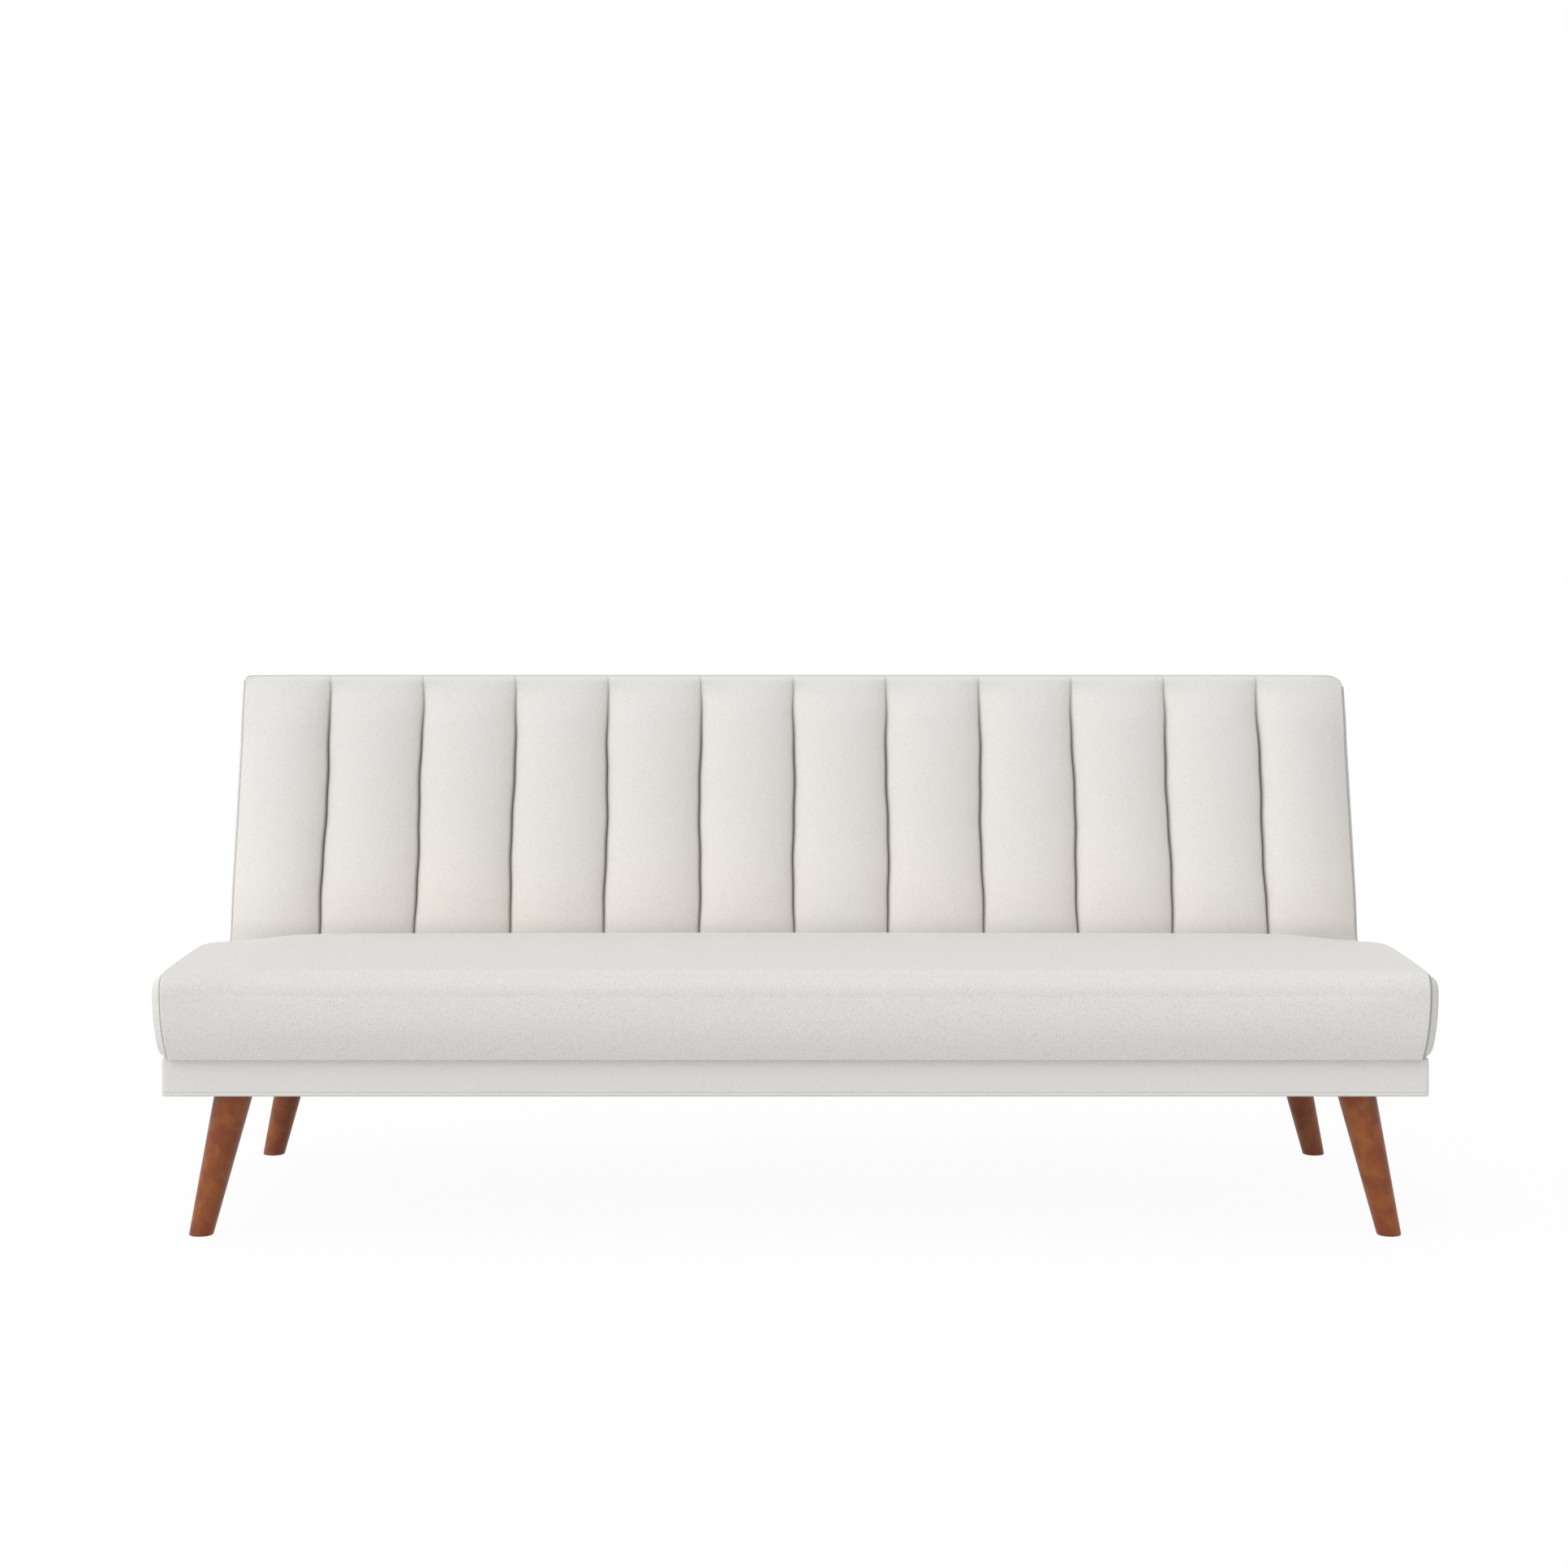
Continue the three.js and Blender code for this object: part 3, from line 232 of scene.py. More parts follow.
def patch(grid, closed=False, inside_out=False, kept=None, **values):
    """A patch from a grid of points. kept is a mask of its quads, and values belong to its points."""
    rows, columns = grid.shape[:2]
    faces = grid_faces(rows, columns, closed, inside_out)
    if kept is not None:
        faces = faces[kept.reshape(-1)]
    flat = {}
    for name, value in values.items():
        value = np.asarray(value, float)
        deep = value.shape[2:]
        flat[name] = np.broadcast_to(value, (rows, columns) + deep).reshape((rows * columns,) + deep)
    return {"points": grid.reshape(-1, 3), "faces": faces, "values": flat}


def polygons(faces):
    """The faces as lists: a quad with two equal neighbours, as at a pole, is a triangle."""
    same = faces == np.roll(faces, -1, axis=1)
    whole = faces[~same.any(axis=1)].tolist()
    for corner in range(4):
        whole += np.delete(faces[same[:, corner] & (same.sum(axis=1) == 1)], corner, axis=1).tolist()
    return whole


def read_field(items, field, width, kind=np.float32):
    """One field of a mesh's points or edges, as an array with a row for each."""
    values = np.empty(len(items) * width, kind)
    items.foreach_get(field, values)
    return values.reshape(-1, width)


def add_object(name, data):
    """A new object in the scene, at the origin, that shows a mesh, a lamp or a camera."""
    thing = bpy.data.objects.new(name, data)
    bpy.context.scene.collection.objects.link(thing)
    return thing


def make_piece(name, body, material, sharp=None):
    """A mesh object of a body of points, faces and values; values become attributes of its points.
    sharp names a value, and an edge between two of its points keeps as sharp as the value says."""
    mesh = bpy.data.meshes.new(name)
    mesh.from_pydata(body["points"], [], polygons(body["faces"]))
    mesh.materials.append(material)
    for key, value in body["values"].items():
        kind, field = ("FLOAT", "value") if value.ndim == 1 else ("FLOAT_VECTOR", "vector")
        attribute = mesh.attributes.new(key, kind, "POINT")
        attribute.data.foreach_set(field, value.astype(np.float32).ravel())
    if sharp:
        on_line = body["values"][sharp][read_field(mesh.edges, "vertices", 2, np.int32)].min(axis=1)
        attribute = mesh.attributes.new("crease_edge", "FLOAT", "EDGE")
        attribute.data.foreach_set("value", on_line.astype(np.float32))
    mesh.shade_smooth()
    return add_object(name, mesh)


def evened(field, edges, times):
    """A field over points whose values move halfway to the mean of their neighbours, as often as times."""
    here, there = np.concatenate([edges, edges[:, ::-1]]).T
    count = np.maximum(np.bincount(here, minlength=len(field)), 1)
    for _ in range(times):
        field = (field + np.bincount(here, field[there], len(field)) / count) / 2
    return field


def inflate(piece, free, pressure=4.0, cap=4 * MM, frames=20):
    """Blows a cover up as stuffing does: cloth under inner pressure whose points with a free share of 0
    are held. Each point then moves square to the cover, by what the cloth did there with its small
    wrinkles evened out, and by no more than its share of cap."""
    scene = bpy.context.scene
    mesh = piece.data
    rest = read_field(mesh.vertices, "co", 3)
    normals = read_field(mesh.vertices, "normal", 3)
    edges = read_field(mesh.edges, "vertices", 2, np.int32)
    group = piece.vertex_groups.new(name="held")
    group.add(np.flatnonzero(free < 0.01).tolist(), 1.0, "REPLACE")
    cloth = piece.modifiers.new("inflate", "CLOTH")
    settings = {"quality": 5, "mass": 0.2, "tension_stiffness": 25, "compression_stiffness": 20,
                "shear_stiffness": 10, "bending_stiffness": 2, "use_pressure": True,
                "uniform_pressure_force": pressure, "vertex_group_mass": group.name}
    for key, value in settings.items():
        setattr(cloth.settings, key, value)
    cloth.settings.effector_weights.gravity = 0
    cloth.collision_settings.use_collision = False
    for number in range(1, frames + 1):
        scene.frame_set(number)
    blown = piece.evaluated_get(bpy.context.evaluated_depsgraph_get()).data
    rise = ((read_field(blown.vertices, "co", 3) - rest) * normals).sum(axis=1)
    rise = free * cap * np.tanh(evened(rise, edges, times=24) / cap)
    piece.modifiers.remove(cloth)
    piece.vertex_groups.remove(group)
    scene.frame_set(1)
    mesh.vertices.foreach_set("co", (rest + rise[:, None] * normals).ravel())
    mesh.update()


def finish_soft(piece, thickness):
    """Gives a sewn cover its thickness on the inside and one subdivision."""
    if thickness > 0:
        wall = piece.modifiers.new("thickness", "SOLIDIFY")
        wall.thickness = thickness
        wall.offset = -1.0
    rounding = piece.modifiers.new("rounding", "SUBSURF")
    rounding.levels = rounding.render_levels = 1


def back_lean():
    """The hinge pins' Y and Z, and the cosine and sine of the back's lean in the sitting position."""
    recline = bpy.context.scene.sofa_sizes.recline
    pivot = next(joint for joint in frame["joints"] if joint["name"] == "back_recline")["pos_m"]
    return pivot[1], pivot[2], math.cos(recline), math.sin(recline)


def leaned(body):
    """Turns and moves a body from the back's own frame, upright with the hinge pins at its origin."""
    pivot_y, pivot_z, c, s = back_lean()
    x, y, z = body["points"].T
    return {**body, "points": np.stack([x, pivot_y + y * c + z * s, pivot_z - y * s + z * c], -1)}


def upright_box(node):
    """A CAD node's lowest and highest corners in the back's own frame."""
    pivot_y, pivot_z, c, s = back_lean()
    points = np.array([vertex.co for vertex in frame["nodes"][node].data.vertices])
    y, z = points[:, 1] - pivot_y, points[:, 2] - pivot_z
    local = np.stack([points[:, 0], y * c - z * s, y * s + z * c], -1)
    return local.min(axis=0), local.max(axis=0)


def hinge_slot():
    """The places along X between which the padding is open round each hinge."""
    low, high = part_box("hinge_arm_right")
    inward, outward = 15 * MM, 13 * MM
    return low.x - inward, high.x + outward


def dress(piece, rides_on, replaced=()):
    """Hands a finished piece to the frame: hides the nodes it stands for and sets the piece on its body."""
    if replaced:
        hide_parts(*replaced)
    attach(piece, rides_on)


def line_distance(points, line):
    """How far each point lies from the nearest stretch of a closed line."""
    step = np.roll(line, -1, axis=0) - line
    offset = points[..., None, :] - line
    share = np.clip((offset * step).sum(axis=-1) / np.maximum((step ** 2).sum(axis=-1), 1e-12), 0, 1)
    return np.linalg.norm(offset - share[..., None] * step, axis=-1).min(axis=-1)


def end_patches(wrap, face_shares, crown, edge_radius, darkness, give):
    """The boxing panels that close a cover's two ends: a narrow lip that rises from the seam as a quarter
    circle, then a patch that bulges by crown times a quarter circle over its distance from the lip.
    darkness is the seam's shade, and give the share of the cloth's swelling that the panels take."""
    away = np.array([0.0, 0.3, 0.8, 1.6, 2.6]) / 2.6 * SEAM_CROWN
    rise = SEAM_CROWN * roll(away, SEAM_CROWN)
    # The lip's seam is painted dark: thread and painted shade in the seam.
    sewn = darkness * np.clip(1 - away / (0.45 * SEAM_CROWN), 0, 1)[:, None]
    free = give * (away > 0)[:, None]
    none = np.zeros((1, 1))
    patches = []
    for ring, side in ((wrap[0], -1), (wrap[-1], 1)):
        step = np.roll(ring, -1, axis=0) - np.roll(ring, 1, axis=0)
        inward = np.stack([0 * step[:, 0], -step[:, 2], step[:, 1]], -1)
        inward /= np.linalg.norm(inward, axis=1, keepdims=True)
        outward = np.array([side, 0.0, 0.0])
        lip = ring + inward * away[:, None, None] + outward * rise[:, None, None]
        fill = fill_ring(lip[-1], face_shares, ARC_STEPS)
        bulge = crown * roll(line_distance(fill, lip[-1]), edge_radius)
        fill = fill + outward * bulge[..., None]
        patches += [patch(lip, closed=True, inside_out=side < 0, sewn=sewn, free=free, crease=none),
                    patch(fill, inside_out=side < 0, sewn=none, free=none + give, crease=none)]
    return patches


# Materials

def add_node(tree, kind, values=None):
    """Adds a node, whose type is ShaderNode and its kind. Each value goes to the input of that name or
    number, or else to the node's own setting. A node among the values stands for its first output, and
    outputs are linked."""
    node = tree.nodes.new("ShaderNode" + kind)
    for key, value in (values or {}).items():
        if isinstance(value, bpy.types.Node):
            value = value.outputs[0]
        if isinstance(value, bpy.types.NodeSocket):
            tree.links.new(value, node.inputs[key])
        elif isinstance(key, int) or key in node.inputs:
            node.inputs[key].default_value = value
        else:
            setattr(node, key, value)
    return node


def mix_colours(tree, factor, first, second):
    """The colour between two others, which are node outputs or linear colours."""
    first, second = [colour if isinstance(colour, bpy.types.NodeSocket) else (*colour[:3], 1.0)
                     for colour in (first, second)]
    return add_node(tree, "Mix", {"data_type": "RGBA", 0: factor, 6: first, 7: second}).outputs[2]


def new_material(name, surface, *values):
    """A material whose node tree the function surface fills from values, up to the shader it returns."""
    material = bpy.data.materials.new(name)
    material.use_nodes = True
    tree = material.node_tree
    tree.nodes.clear()
    add_node(tree, "OutputMaterial", {0: surface(tree, *values)})
    return material


def faux_leather(tree, grain, relief, shade, warm_height=0.0):
    """Polyurethane faux leather, embossed with a pebble grain over a knitted backing: a soft satin sheen,
    with thread and painted shade in its seams and creases, and painted shade wherever a piece marks it, such
    as the gap over the seat, and creamier in wide patches below warm_height. grain is the width of a pebble in
    millimetres, drawn coarser than the real 1 mm so that it shows, relief its height, and shade how dark the
    hollows between pebbles are painted, which is partly the grain's own tone and partly painted shade."""
    colours = bpy.context.scene.sofa_colours
    place = add_node(tree, "TexCoord").outputs["Object"]
    patches = add_node(tree, "TexNoise", {"Scale": 1 / (260 * MM), "Detail": 1.0, "Vector": place})
    height = add_node(tree, "SeparateXYZ", {0: place}).outputs["Z"]
    low = add_node(tree, "MapRange", {"From Min": warm_height, "From Max": warm_height - 150 * MM,
                                      "To Max": 1.4, "Value": height})
    warm = add_node(tree, "Math", {"operation": "MULTIPLY", 0: patches, 1: low})
    cover = mix_colours(tree, warm, colours.leather, colours.leather_warm)
    # Thread and painted shade: where a piece marks it, as in seams, creases, the gap over the seat and the back's
    # top edge, the cover is painted towards the seam colour.
    sewn = add_node(tree, "Attribute", {"attribute_name": "sewn"}).outputs["Fac"]
    seam = add_node(tree, "Math", {"operation": "MULTIPLY", 0: sewn, 1: 0.85})
    cover = mix_colours(tree, seam, cover, colours.seam)
    pebbles = add_node(tree, "TexVoronoi", {"feature": "SMOOTH_F1", "Scale": 1 / (grain * MM),
                                            "Smoothness": 0.6, "Vector": place})
    # The hollows between pebbles are painted darker: partly the grain's own tone, partly painted shade in them.
    hollows = add_node(tree, "MapRange", {"From Min": 0.3, "From Max": 0.75, "To Max": shade,
                                          "Value": pebbles})
    cover = mix_colours(tree, hollows, cover, colours.seam)
    fine = add_node(tree, "TexNoise", {"Scale": 1 / (0.6 * grain * MM), "Detail": 3.0, "Vector": place})
    uneven = add_node(tree, "Math", {"operation": "ADD", 0: pebbles, 1: fine})
    bump = add_node(tree, "Bump", {"Strength": 1.0, "Distance": relief * MM, "Height": uneven})
    rough = add_node(tree, "MapRange", {"To Min": 0.5, "To Max": 0.62, "Value": fine})
    return add_node(tree, "BsdfPrincipled", {
        "IOR": 1.48, "Specular IOR Level": 0.35, "Sheen Weight": 0.06, "Sheen Roughness": 0.4,
        "Base Color": cover, "Roughness": rough, "Normal": bump})


def stained_wood(tree):
    """Rubberwood turned on a lathe, stained red brown and lacquered: soft cloudy patches and a fine wavy
    figure along the leg under a satin lacquer, which shows as a pale rim at the edges."""
    colours = bpy.context.scene.sofa_colours
    along = add_node(tree, "Attribute", {"attribute_name": "along_grain"}).outputs["Vector"]
    stretched = add_node(tree, "VectorMath", {"operation": "MULTIPLY", 0: along, 1: (1, 1, 0.22)})
    clouds = add_node(tree, "TexNoise", {"Scale": 1 / (26 * MM), "Detail": 2.0, "Distortion": 0.5,
                                         "Vector": along})
    streaks = add_node(tree, "TexNoise", {"Scale": 1 / (5 * MM), "Detail": 4.0, "Roughness": 0.6,
                                          "Distortion": 1.2, "Vector": stretched})
    tone = add_node(tree, "MapRange", {"From Min": 0.38, "From Max": 0.62, "Value": clouds})
    body = mix_colours(tree, tone, colours.stain, colours.stain_red)
    depth = add_node(tree, "MapRange", {"From Min": 0.5, "From Max": 0.85, "To Max": 0.6,
                                        "Value": streaks})
    body = mix_colours(tree, depth, body, colours.stain_dark)
    bump = add_node(tree, "Bump", {"Strength": 0.4, "Distance": 0.15 * MM, "Height": streaks})
    return add_node(tree, "BsdfPrincipled", {
        "Roughness": 0.45, "IOR": 1.5, "Specular IOR Level": 0.25, "Coat Weight": 0.2,
        "Coat Roughness": 0.12, "Base Color": body, "Normal": bump})


def planed_pine(tree, axis):
    """Planed pine: pale boards with darker growth rings that run along the axis 0, 1 or 2."""
    timber, ring_colour = bpy.context.scene.sofa_colours.timber, linear("#A2743F")
    place = add_node(tree, "TexCoord").outputs["Object"]
    squeeze = [1.0, 1.0, 1.0]
    squeeze[axis] = 0.03
    stretched = add_node(tree, "VectorMath", {"operation": "MULTIPLY", 0: place, 1: squeeze})
    rings = add_node(tree, "TexNoise", {"Scale": 1 / (14 * MM), "Detail": 2.0, "Distortion": 0.6,
                                        "Vector": stretched})
    bands = add_node(tree, "Math", {"operation": "PINGPONG", 0: rings, 1: 0.12})
    dark = add_node(tree, "MapRange", {"From Max": 0.12, "To Min": 0.45, "To Max": 0.0, "Value": bands})
    bump = add_node(tree, "Bump", {"Strength": 0.5, "Distance": 0.2 * MM, "Height": bands})
    return add_node(tree, "BsdfPrincipled", {
        "Roughness": 0.78, "Base Color": mix_colours(tree, dark, timber, ring_colour), "Normal": bump})


def coated_metal(tree, hex_colour, metallic, roughness, spot, relief):
    """Steel parts. Powder coat is a dielectric with a fine orange peel, and zinc plate and bright wire are
    bare metal with cloudy reflections. spot is the width of the unevenness in millimetres."""
    colour = linear(hex_colour)
    place = add_node(tree, "TexCoord").outputs["Object"]
    cloud = add_node(tree, "TexNoise", {"Scale": 1 / (spot * MM), "Detail": 3.0, "Vector": place})
    rough = add_node(tree, "MapRange", {"To Min": roughness - 0.08, "To Max": roughness + 0.08,
                                        "Value": cloud})
    bump = add_node(tree, "Bump", {"Strength": 0.6, "Distance": relief * MM, "Height": cloud})
    return add_node(tree, "BsdfPrincipled", {
        "Metallic": metallic, "Base Color": mix_colours(tree, cloud, colour, [0.72 * c for c in colour]),
        "Roughness": rough, "Normal": bump})


def cut_foam(tree):
    """Polyurethane foam, cut from a block: matt and pale yellow with open cells about 1.5 mm wide."""
    foam, cell_colour = bpy.context.scene.sofa_colours.foam, linear("#C9BE97")
    place = add_node(tree, "TexCoord").outputs["Object"]
    cells = add_node(tree, "TexVoronoi", {"Scale": 1 / (1.5 * MM), "Vector": place})
    shade = add_node(tree, "MapRange", {"From Max": 0.7, "To Min": 0.25, "To Max": 0.0, "Value": cells})
    bump = add_node(tree, "Bump", {"Strength": 0.8, "Distance": 0.5 * MM, "Height": cells})
    return add_node(tree, "BsdfPrincipled", {
        "Roughness": 0.95, "Specular IOR Level": 0.2,
        "Base Color": mix_colours(tree, shade, foam, cell_colour), "Normal": bump})


def woven_cloth(tree, hex_colour, hex_thread, thread):
    """Cloth of crossing threads, each a given number of millimetres wide, for webbing and, at a fine
    scale, for the bonded dust cover."""
    place = add_node(tree, "TexCoord").outputs["Object"]
    across, along = [add_node(tree, "TexWave", {
        "bands_direction": direction, "Scale": math.pi / 10 / (thread * MM), "Distortion": 0.4,
        "Vector": place}).outputs["Fac"] for direction in ("X", "Z")]
    weave = add_node(tree, "Math", {"operation": "MULTIPLY", 0: across, 1: along})
    tone = mix_colours(tree, weave, linear(hex_colour), linear(hex_thread))
    bump = add_node(tree, "Bump", {"Strength": 0.7, "Distance": 0.3 * MM, "Height": weave})
    return add_node(tree, "BsdfPrincipled", {
        "Roughness": 0.95, "Specular IOR Level": 0.2, "Sheen Weight": 0.1, "Base Color": tone,
        "Normal": bump})


def moulded_nylon(tree, hex_colour):
    """Injection moulded nylon: satin, with a faint haze of fine spots."""
    colour = linear(hex_colour)
    place = add_node(tree, "TexCoord").outputs["Object"]
    haze = add_node(tree, "TexNoise", {"Scale": 1 / (1.2 * MM), "Detail": 2.0, "Vector": place})
    tone = mix_colours(tree, haze, colour, [0.8 * c for c in colour])
    bump = add_node(tree, "Bump", {"Strength": 0.4, "Distance": 0.1 * MM, "Height": haze})
    return add_node(tree, "BsdfPrincipled", {"Roughness": 0.5, "IOR": 1.53, "Base Color": tone,
                                             "Normal": bump})


# Pieces

def seat_relief(x, y, z, face, share, near_end):
    """The seat's outlines, drawn in at the foot of the front and crowned at the top and the front by half
    a sine. The top falls off towards the rear, most at its corners, and rises a little at the front's."""
    sizes = bpy.context.scene.sofa_sizes
    low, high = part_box("seat_cushion")
    tuck_height, tuck_depth = 48 * MM, 30 * MM
    above_foot = np.clip((z - low.z) / tuck_height, 0, 1)
    ahead = np.clip((low.y + tuck_depth - y) / tuck_depth, 0, 1)
    y = y + sizes.seat_tuck * (1 - above_foot) ** 2 * ahead
    arch = np.sin(math.pi * share)
    z = z + np.where(face == TOP, sizes.seat_top_crown, 0.0) * arch
    y = y - np.where(face == FRONT, sizes.seat_front_crown, 0.0) * arch
    rear_fall, side_fall, corner_fall, end_lift = 9 * MM, 3 * MM, 6 * MM, 3.5 * MM
    fall_stretch = 330 * MM
    rearward = smooth((y - high.y + fall_stretch) / fall_stretch)
    fall = rear_fall + side_fall * (x / high.x) ** 2 + corner_fall * near_end
    lift = end_lift * near_end * (1 - rearward) - fall * rearward
    return y, z + lift * (z - low.z) / (high.z - low.z)


def seat_cover():
    """The seat's cover: padded outlines carried along X, with a bulging boxing panel at each end. The ends
    lean in towards the foot by the square of the way down, and the underside is open inside a border."""
    sizes = bpy.context.scene.sofa_sizes
    low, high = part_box("seat_cushion")
    half = high.x
    swell_room = 3 * MM
    seam = half - sizes.seat_end_crown - swell_room
    near_seam = np.array([0.0, 0.6, 1.4, 2.4, 4.0, 7.0, 12.0]) * MM
    inner = seam - 22 * MM
    x = np.concatenate([near_seam - seam, np.linspace(-inner, inner, 121), seam - near_seam[::-1]])[:, None]
    near_edge = np.array([0.006, 0.013, 0.021])
    long_face = np.concatenate([near_edge, between(34), 1 - near_edge[::-1]])
    short_face = np.concatenate([[0.02, 0.045], between(14), [0.955, 0.98]])
    face_shares = [long_face, short_face] * 2
    from_seam = seam - np.abs(x)
    tuck = SEAM_CROWN * (1 - roll(from_seam, SEAM_CROWN))
    corner_stretch = 150 * MM
    near_end = smooth((np.abs(x) - half + corner_stretch) / corner_stretch)
    front_foot, rear_foot, rear_roll, rear_roll_gain, front_roll = 2.5, 12, 30, 20, 28
    radii = [front_foot * MM, rear_foot * MM, (rear_roll + rear_roll_gain * near_end) * MM, front_roll * MM]
    y, z, face, share = padded_outline(
        low.y + sizes.seat_front_crown + tuck, high.y - tuck, low.z + tuck,
        high.z - sizes.seat_top_crown - tuck, radii, face_shares, ARC_STEPS)
    y, z = seat_relief(x, y, z, face, share, near_end)
    wrap = np.stack([x + 0 * y, y, z], -1)

    border = 45 * MM
    middle_y = (y[:-1] + y[1:]) / 2
    middle_x = np.abs(x[:-1] + x[1:]) / 2
    under = (face == BOTTOM)[None, :] & (middle_x < half - border)
    under = under & (middle_y > low.y + border) & (middle_y < high.y - border)
    seam_shade, slack_from_seam, slack_from_foot = 0.7, 120 * MM, 60 * MM
    # The seams at the ends are painted dark: thread and painted shade in the seam.
    sewn = seam_shade * np.clip(1 - from_seam / (0.5 * SEAM_CROWN), 0, 1)
    free = smooth(from_seam / slack_from_seam) * smooth((z - low.z) / slack_from_foot)
    free = free * (face != BOTTOM)[None, :]
    patches = [patch(wrap, closed=True, kept=~under, sewn=sewn, free=free, crease=np.zeros((1, 1)))]
    patches += end_patches(wrap, face_shares, crown=sizes.seat_end_crown - SEAM_CROWN,
                           edge_radius=11 * MM, darkness=seam_shade, give=0.35)
    body = join(patches)
    foot_taper = 12 * MM
    down = (high.z - body["points"][:, 2]) / (high.z - low.z)
    body["points"][:, 0] *= 1 - foot_taper / half * down ** 2
    return body


def channel_edges(half):
    """The channels' edges from the left: the back's two ends, and between them the evenly set creases."""
    sizes = bpy.context.scene.sofa_sizes
    first = half - sizes.end_channel
    return np.concatenate([[-half], np.linspace(-first, first, sizes.channel_count - 1), [half]])


def back_rows(edges, seam, slot):
    """Places along X for the back's rows: close together at the creases and at the ends' seams, and on
    the edges of the hinge slots."""
    shares = np.array([0.0, 0.01, 0.03, 0.065, 0.12, 0.21, 0.35, 0.5, 0.65, 0.79, 0.88, 0.935, 0.97, 0.99])
    widths = np.diff(edges)[:, None]
    inner = (edges[1:-2, None] + shares * widths[1:-1]).ravel()
    outer = edges[-2] + shares[:7] * widths[-1]
    rear_wall = 24 * MM
    near = np.array([22.0, 16.0, 11.0, 7.0, 4.0, 2.4, 1.4, 0.6, 0.0]) * MM
    ends = np.array([slot[0], (slot[0] + slot[1]) / 2, slot[1], seam - rear_wall])
    right = np.concatenate([outer, ends, seam - near])
    x = np.sort(np.concatenate([-right, inner, right]))
    least_gap = 0.2 * MM
    return x[np.concatenate([[True], np.diff(x) > least_gap])]


def crease_path(number, z):
    """How far a sewn crease strays from its straight line at the height z: two sines whose phases come
    from the crease's number."""
    sizes = bpy.context.scene.sofa_sizes
    long_wave, short_wave = 300 * MM, 85 * MM
    golden_angle, ripple_height, ripple_turn = 2.399963, 0.35, 1.7
    wave = np.sin(2 * math.pi * z / long_wave + golden_angle * number)
    ripple = ripple_height * np.sin(2 * math.pi * z / short_wave + ripple_turn * golden_angle * number)
    return sizes.crease_wander * (wave + ripple)


def across_channels(x, edges):
    """The number of the channel at each place along X, the share t of the way across it, and the distance
    to the nearest crease. The back's two ends aren't creases."""
    last = len(edges) - 2
    number = np.clip(np.searchsorted(edges, x + ON_LINE) - 1, 0, last)
    from_left, from_right = np.abs(x - edges[number]), np.abs(edges[number + 1] - x)
    far = edges[-1]
    distance = np.minimum(np.where(number > 0, from_left, far), np.where(number < last, from_right, far))
    return number, from_left / (from_left + from_right), distance


def channel_relief(number, t, over_top, from_top, from_bottom):
    """How far each point of the front rises, sinks and falls back. A channel rises as half an ellipse
    across, and sinks to its creases by what that leaves. A channel at an end rises most at its apex,
    nearer to its crease, and from there falls back as the square of the way to the end. All of it fades
    towards the top edge and the foot, each over its own length."""
    sizes = bpy.context.scene.sofa_sizes
    apex, end_fall = 0.4, 24 * MM
    foot_stretch, flat_foot, crown_foot = 30 * MM, 10 * MM, 110 * MM
    crown_top, crease_top, fall_top = 70 * MM, 60 * MM, 100 * MM
    crease_over_top, fall_over_top = 0.3, 0.5  # the shares that run on over the top edge
    at_end = (number == 0) | (number == sizes.channel_count - 1)
    from_crease = np.where(number == 0, 1 - t, t)
    up_to_apex = np.sqrt(1 - np.maximum(1 - from_crease / apex, 0) ** 2)
    swell = np.where(at_end, up_to_apex, np.sqrt(1 - (2 * t - 1) ** 2))
    fall = end_fall * at_end * (np.maximum(from_crease - apex, 0) / (1 - apex)) ** 2
    foot_fade = smooth(from_bottom / foot_stretch)
    crown_fade = smooth(from_top / crown_top) * smooth((from_bottom - flat_foot) / crown_foot)
    crease_below_top = (1 - crease_over_top) * roll(from_top, crease_top)
    crease_fade = (crease_over_top * over_top ** 2 + crease_below_top) * foot_fade
    fall_below_top = (1 - fall_over_top) * smooth(from_top / fall_top)
    fall_fade = smooth(over_top) * (fall_over_top + fall_below_top) * foot_fade
    rise = sizes.channel_crown * crown_fade * swell
    sink = sizes.crease_depth * crease_fade * (1 - swell)
    return rise, sink, fall * fall_fade


def crease_stray(number, t, z):
    """How far a point strays along X: t shares it out between the two creases beside the point."""
    last = bpy.context.scene.sofa_sizes.channel_count - 1
    left = crease_path(number, z) * (number > 0)
    right = crease_path(number + 1, z) * (number < last)
    return (1 - t) * left + t * right


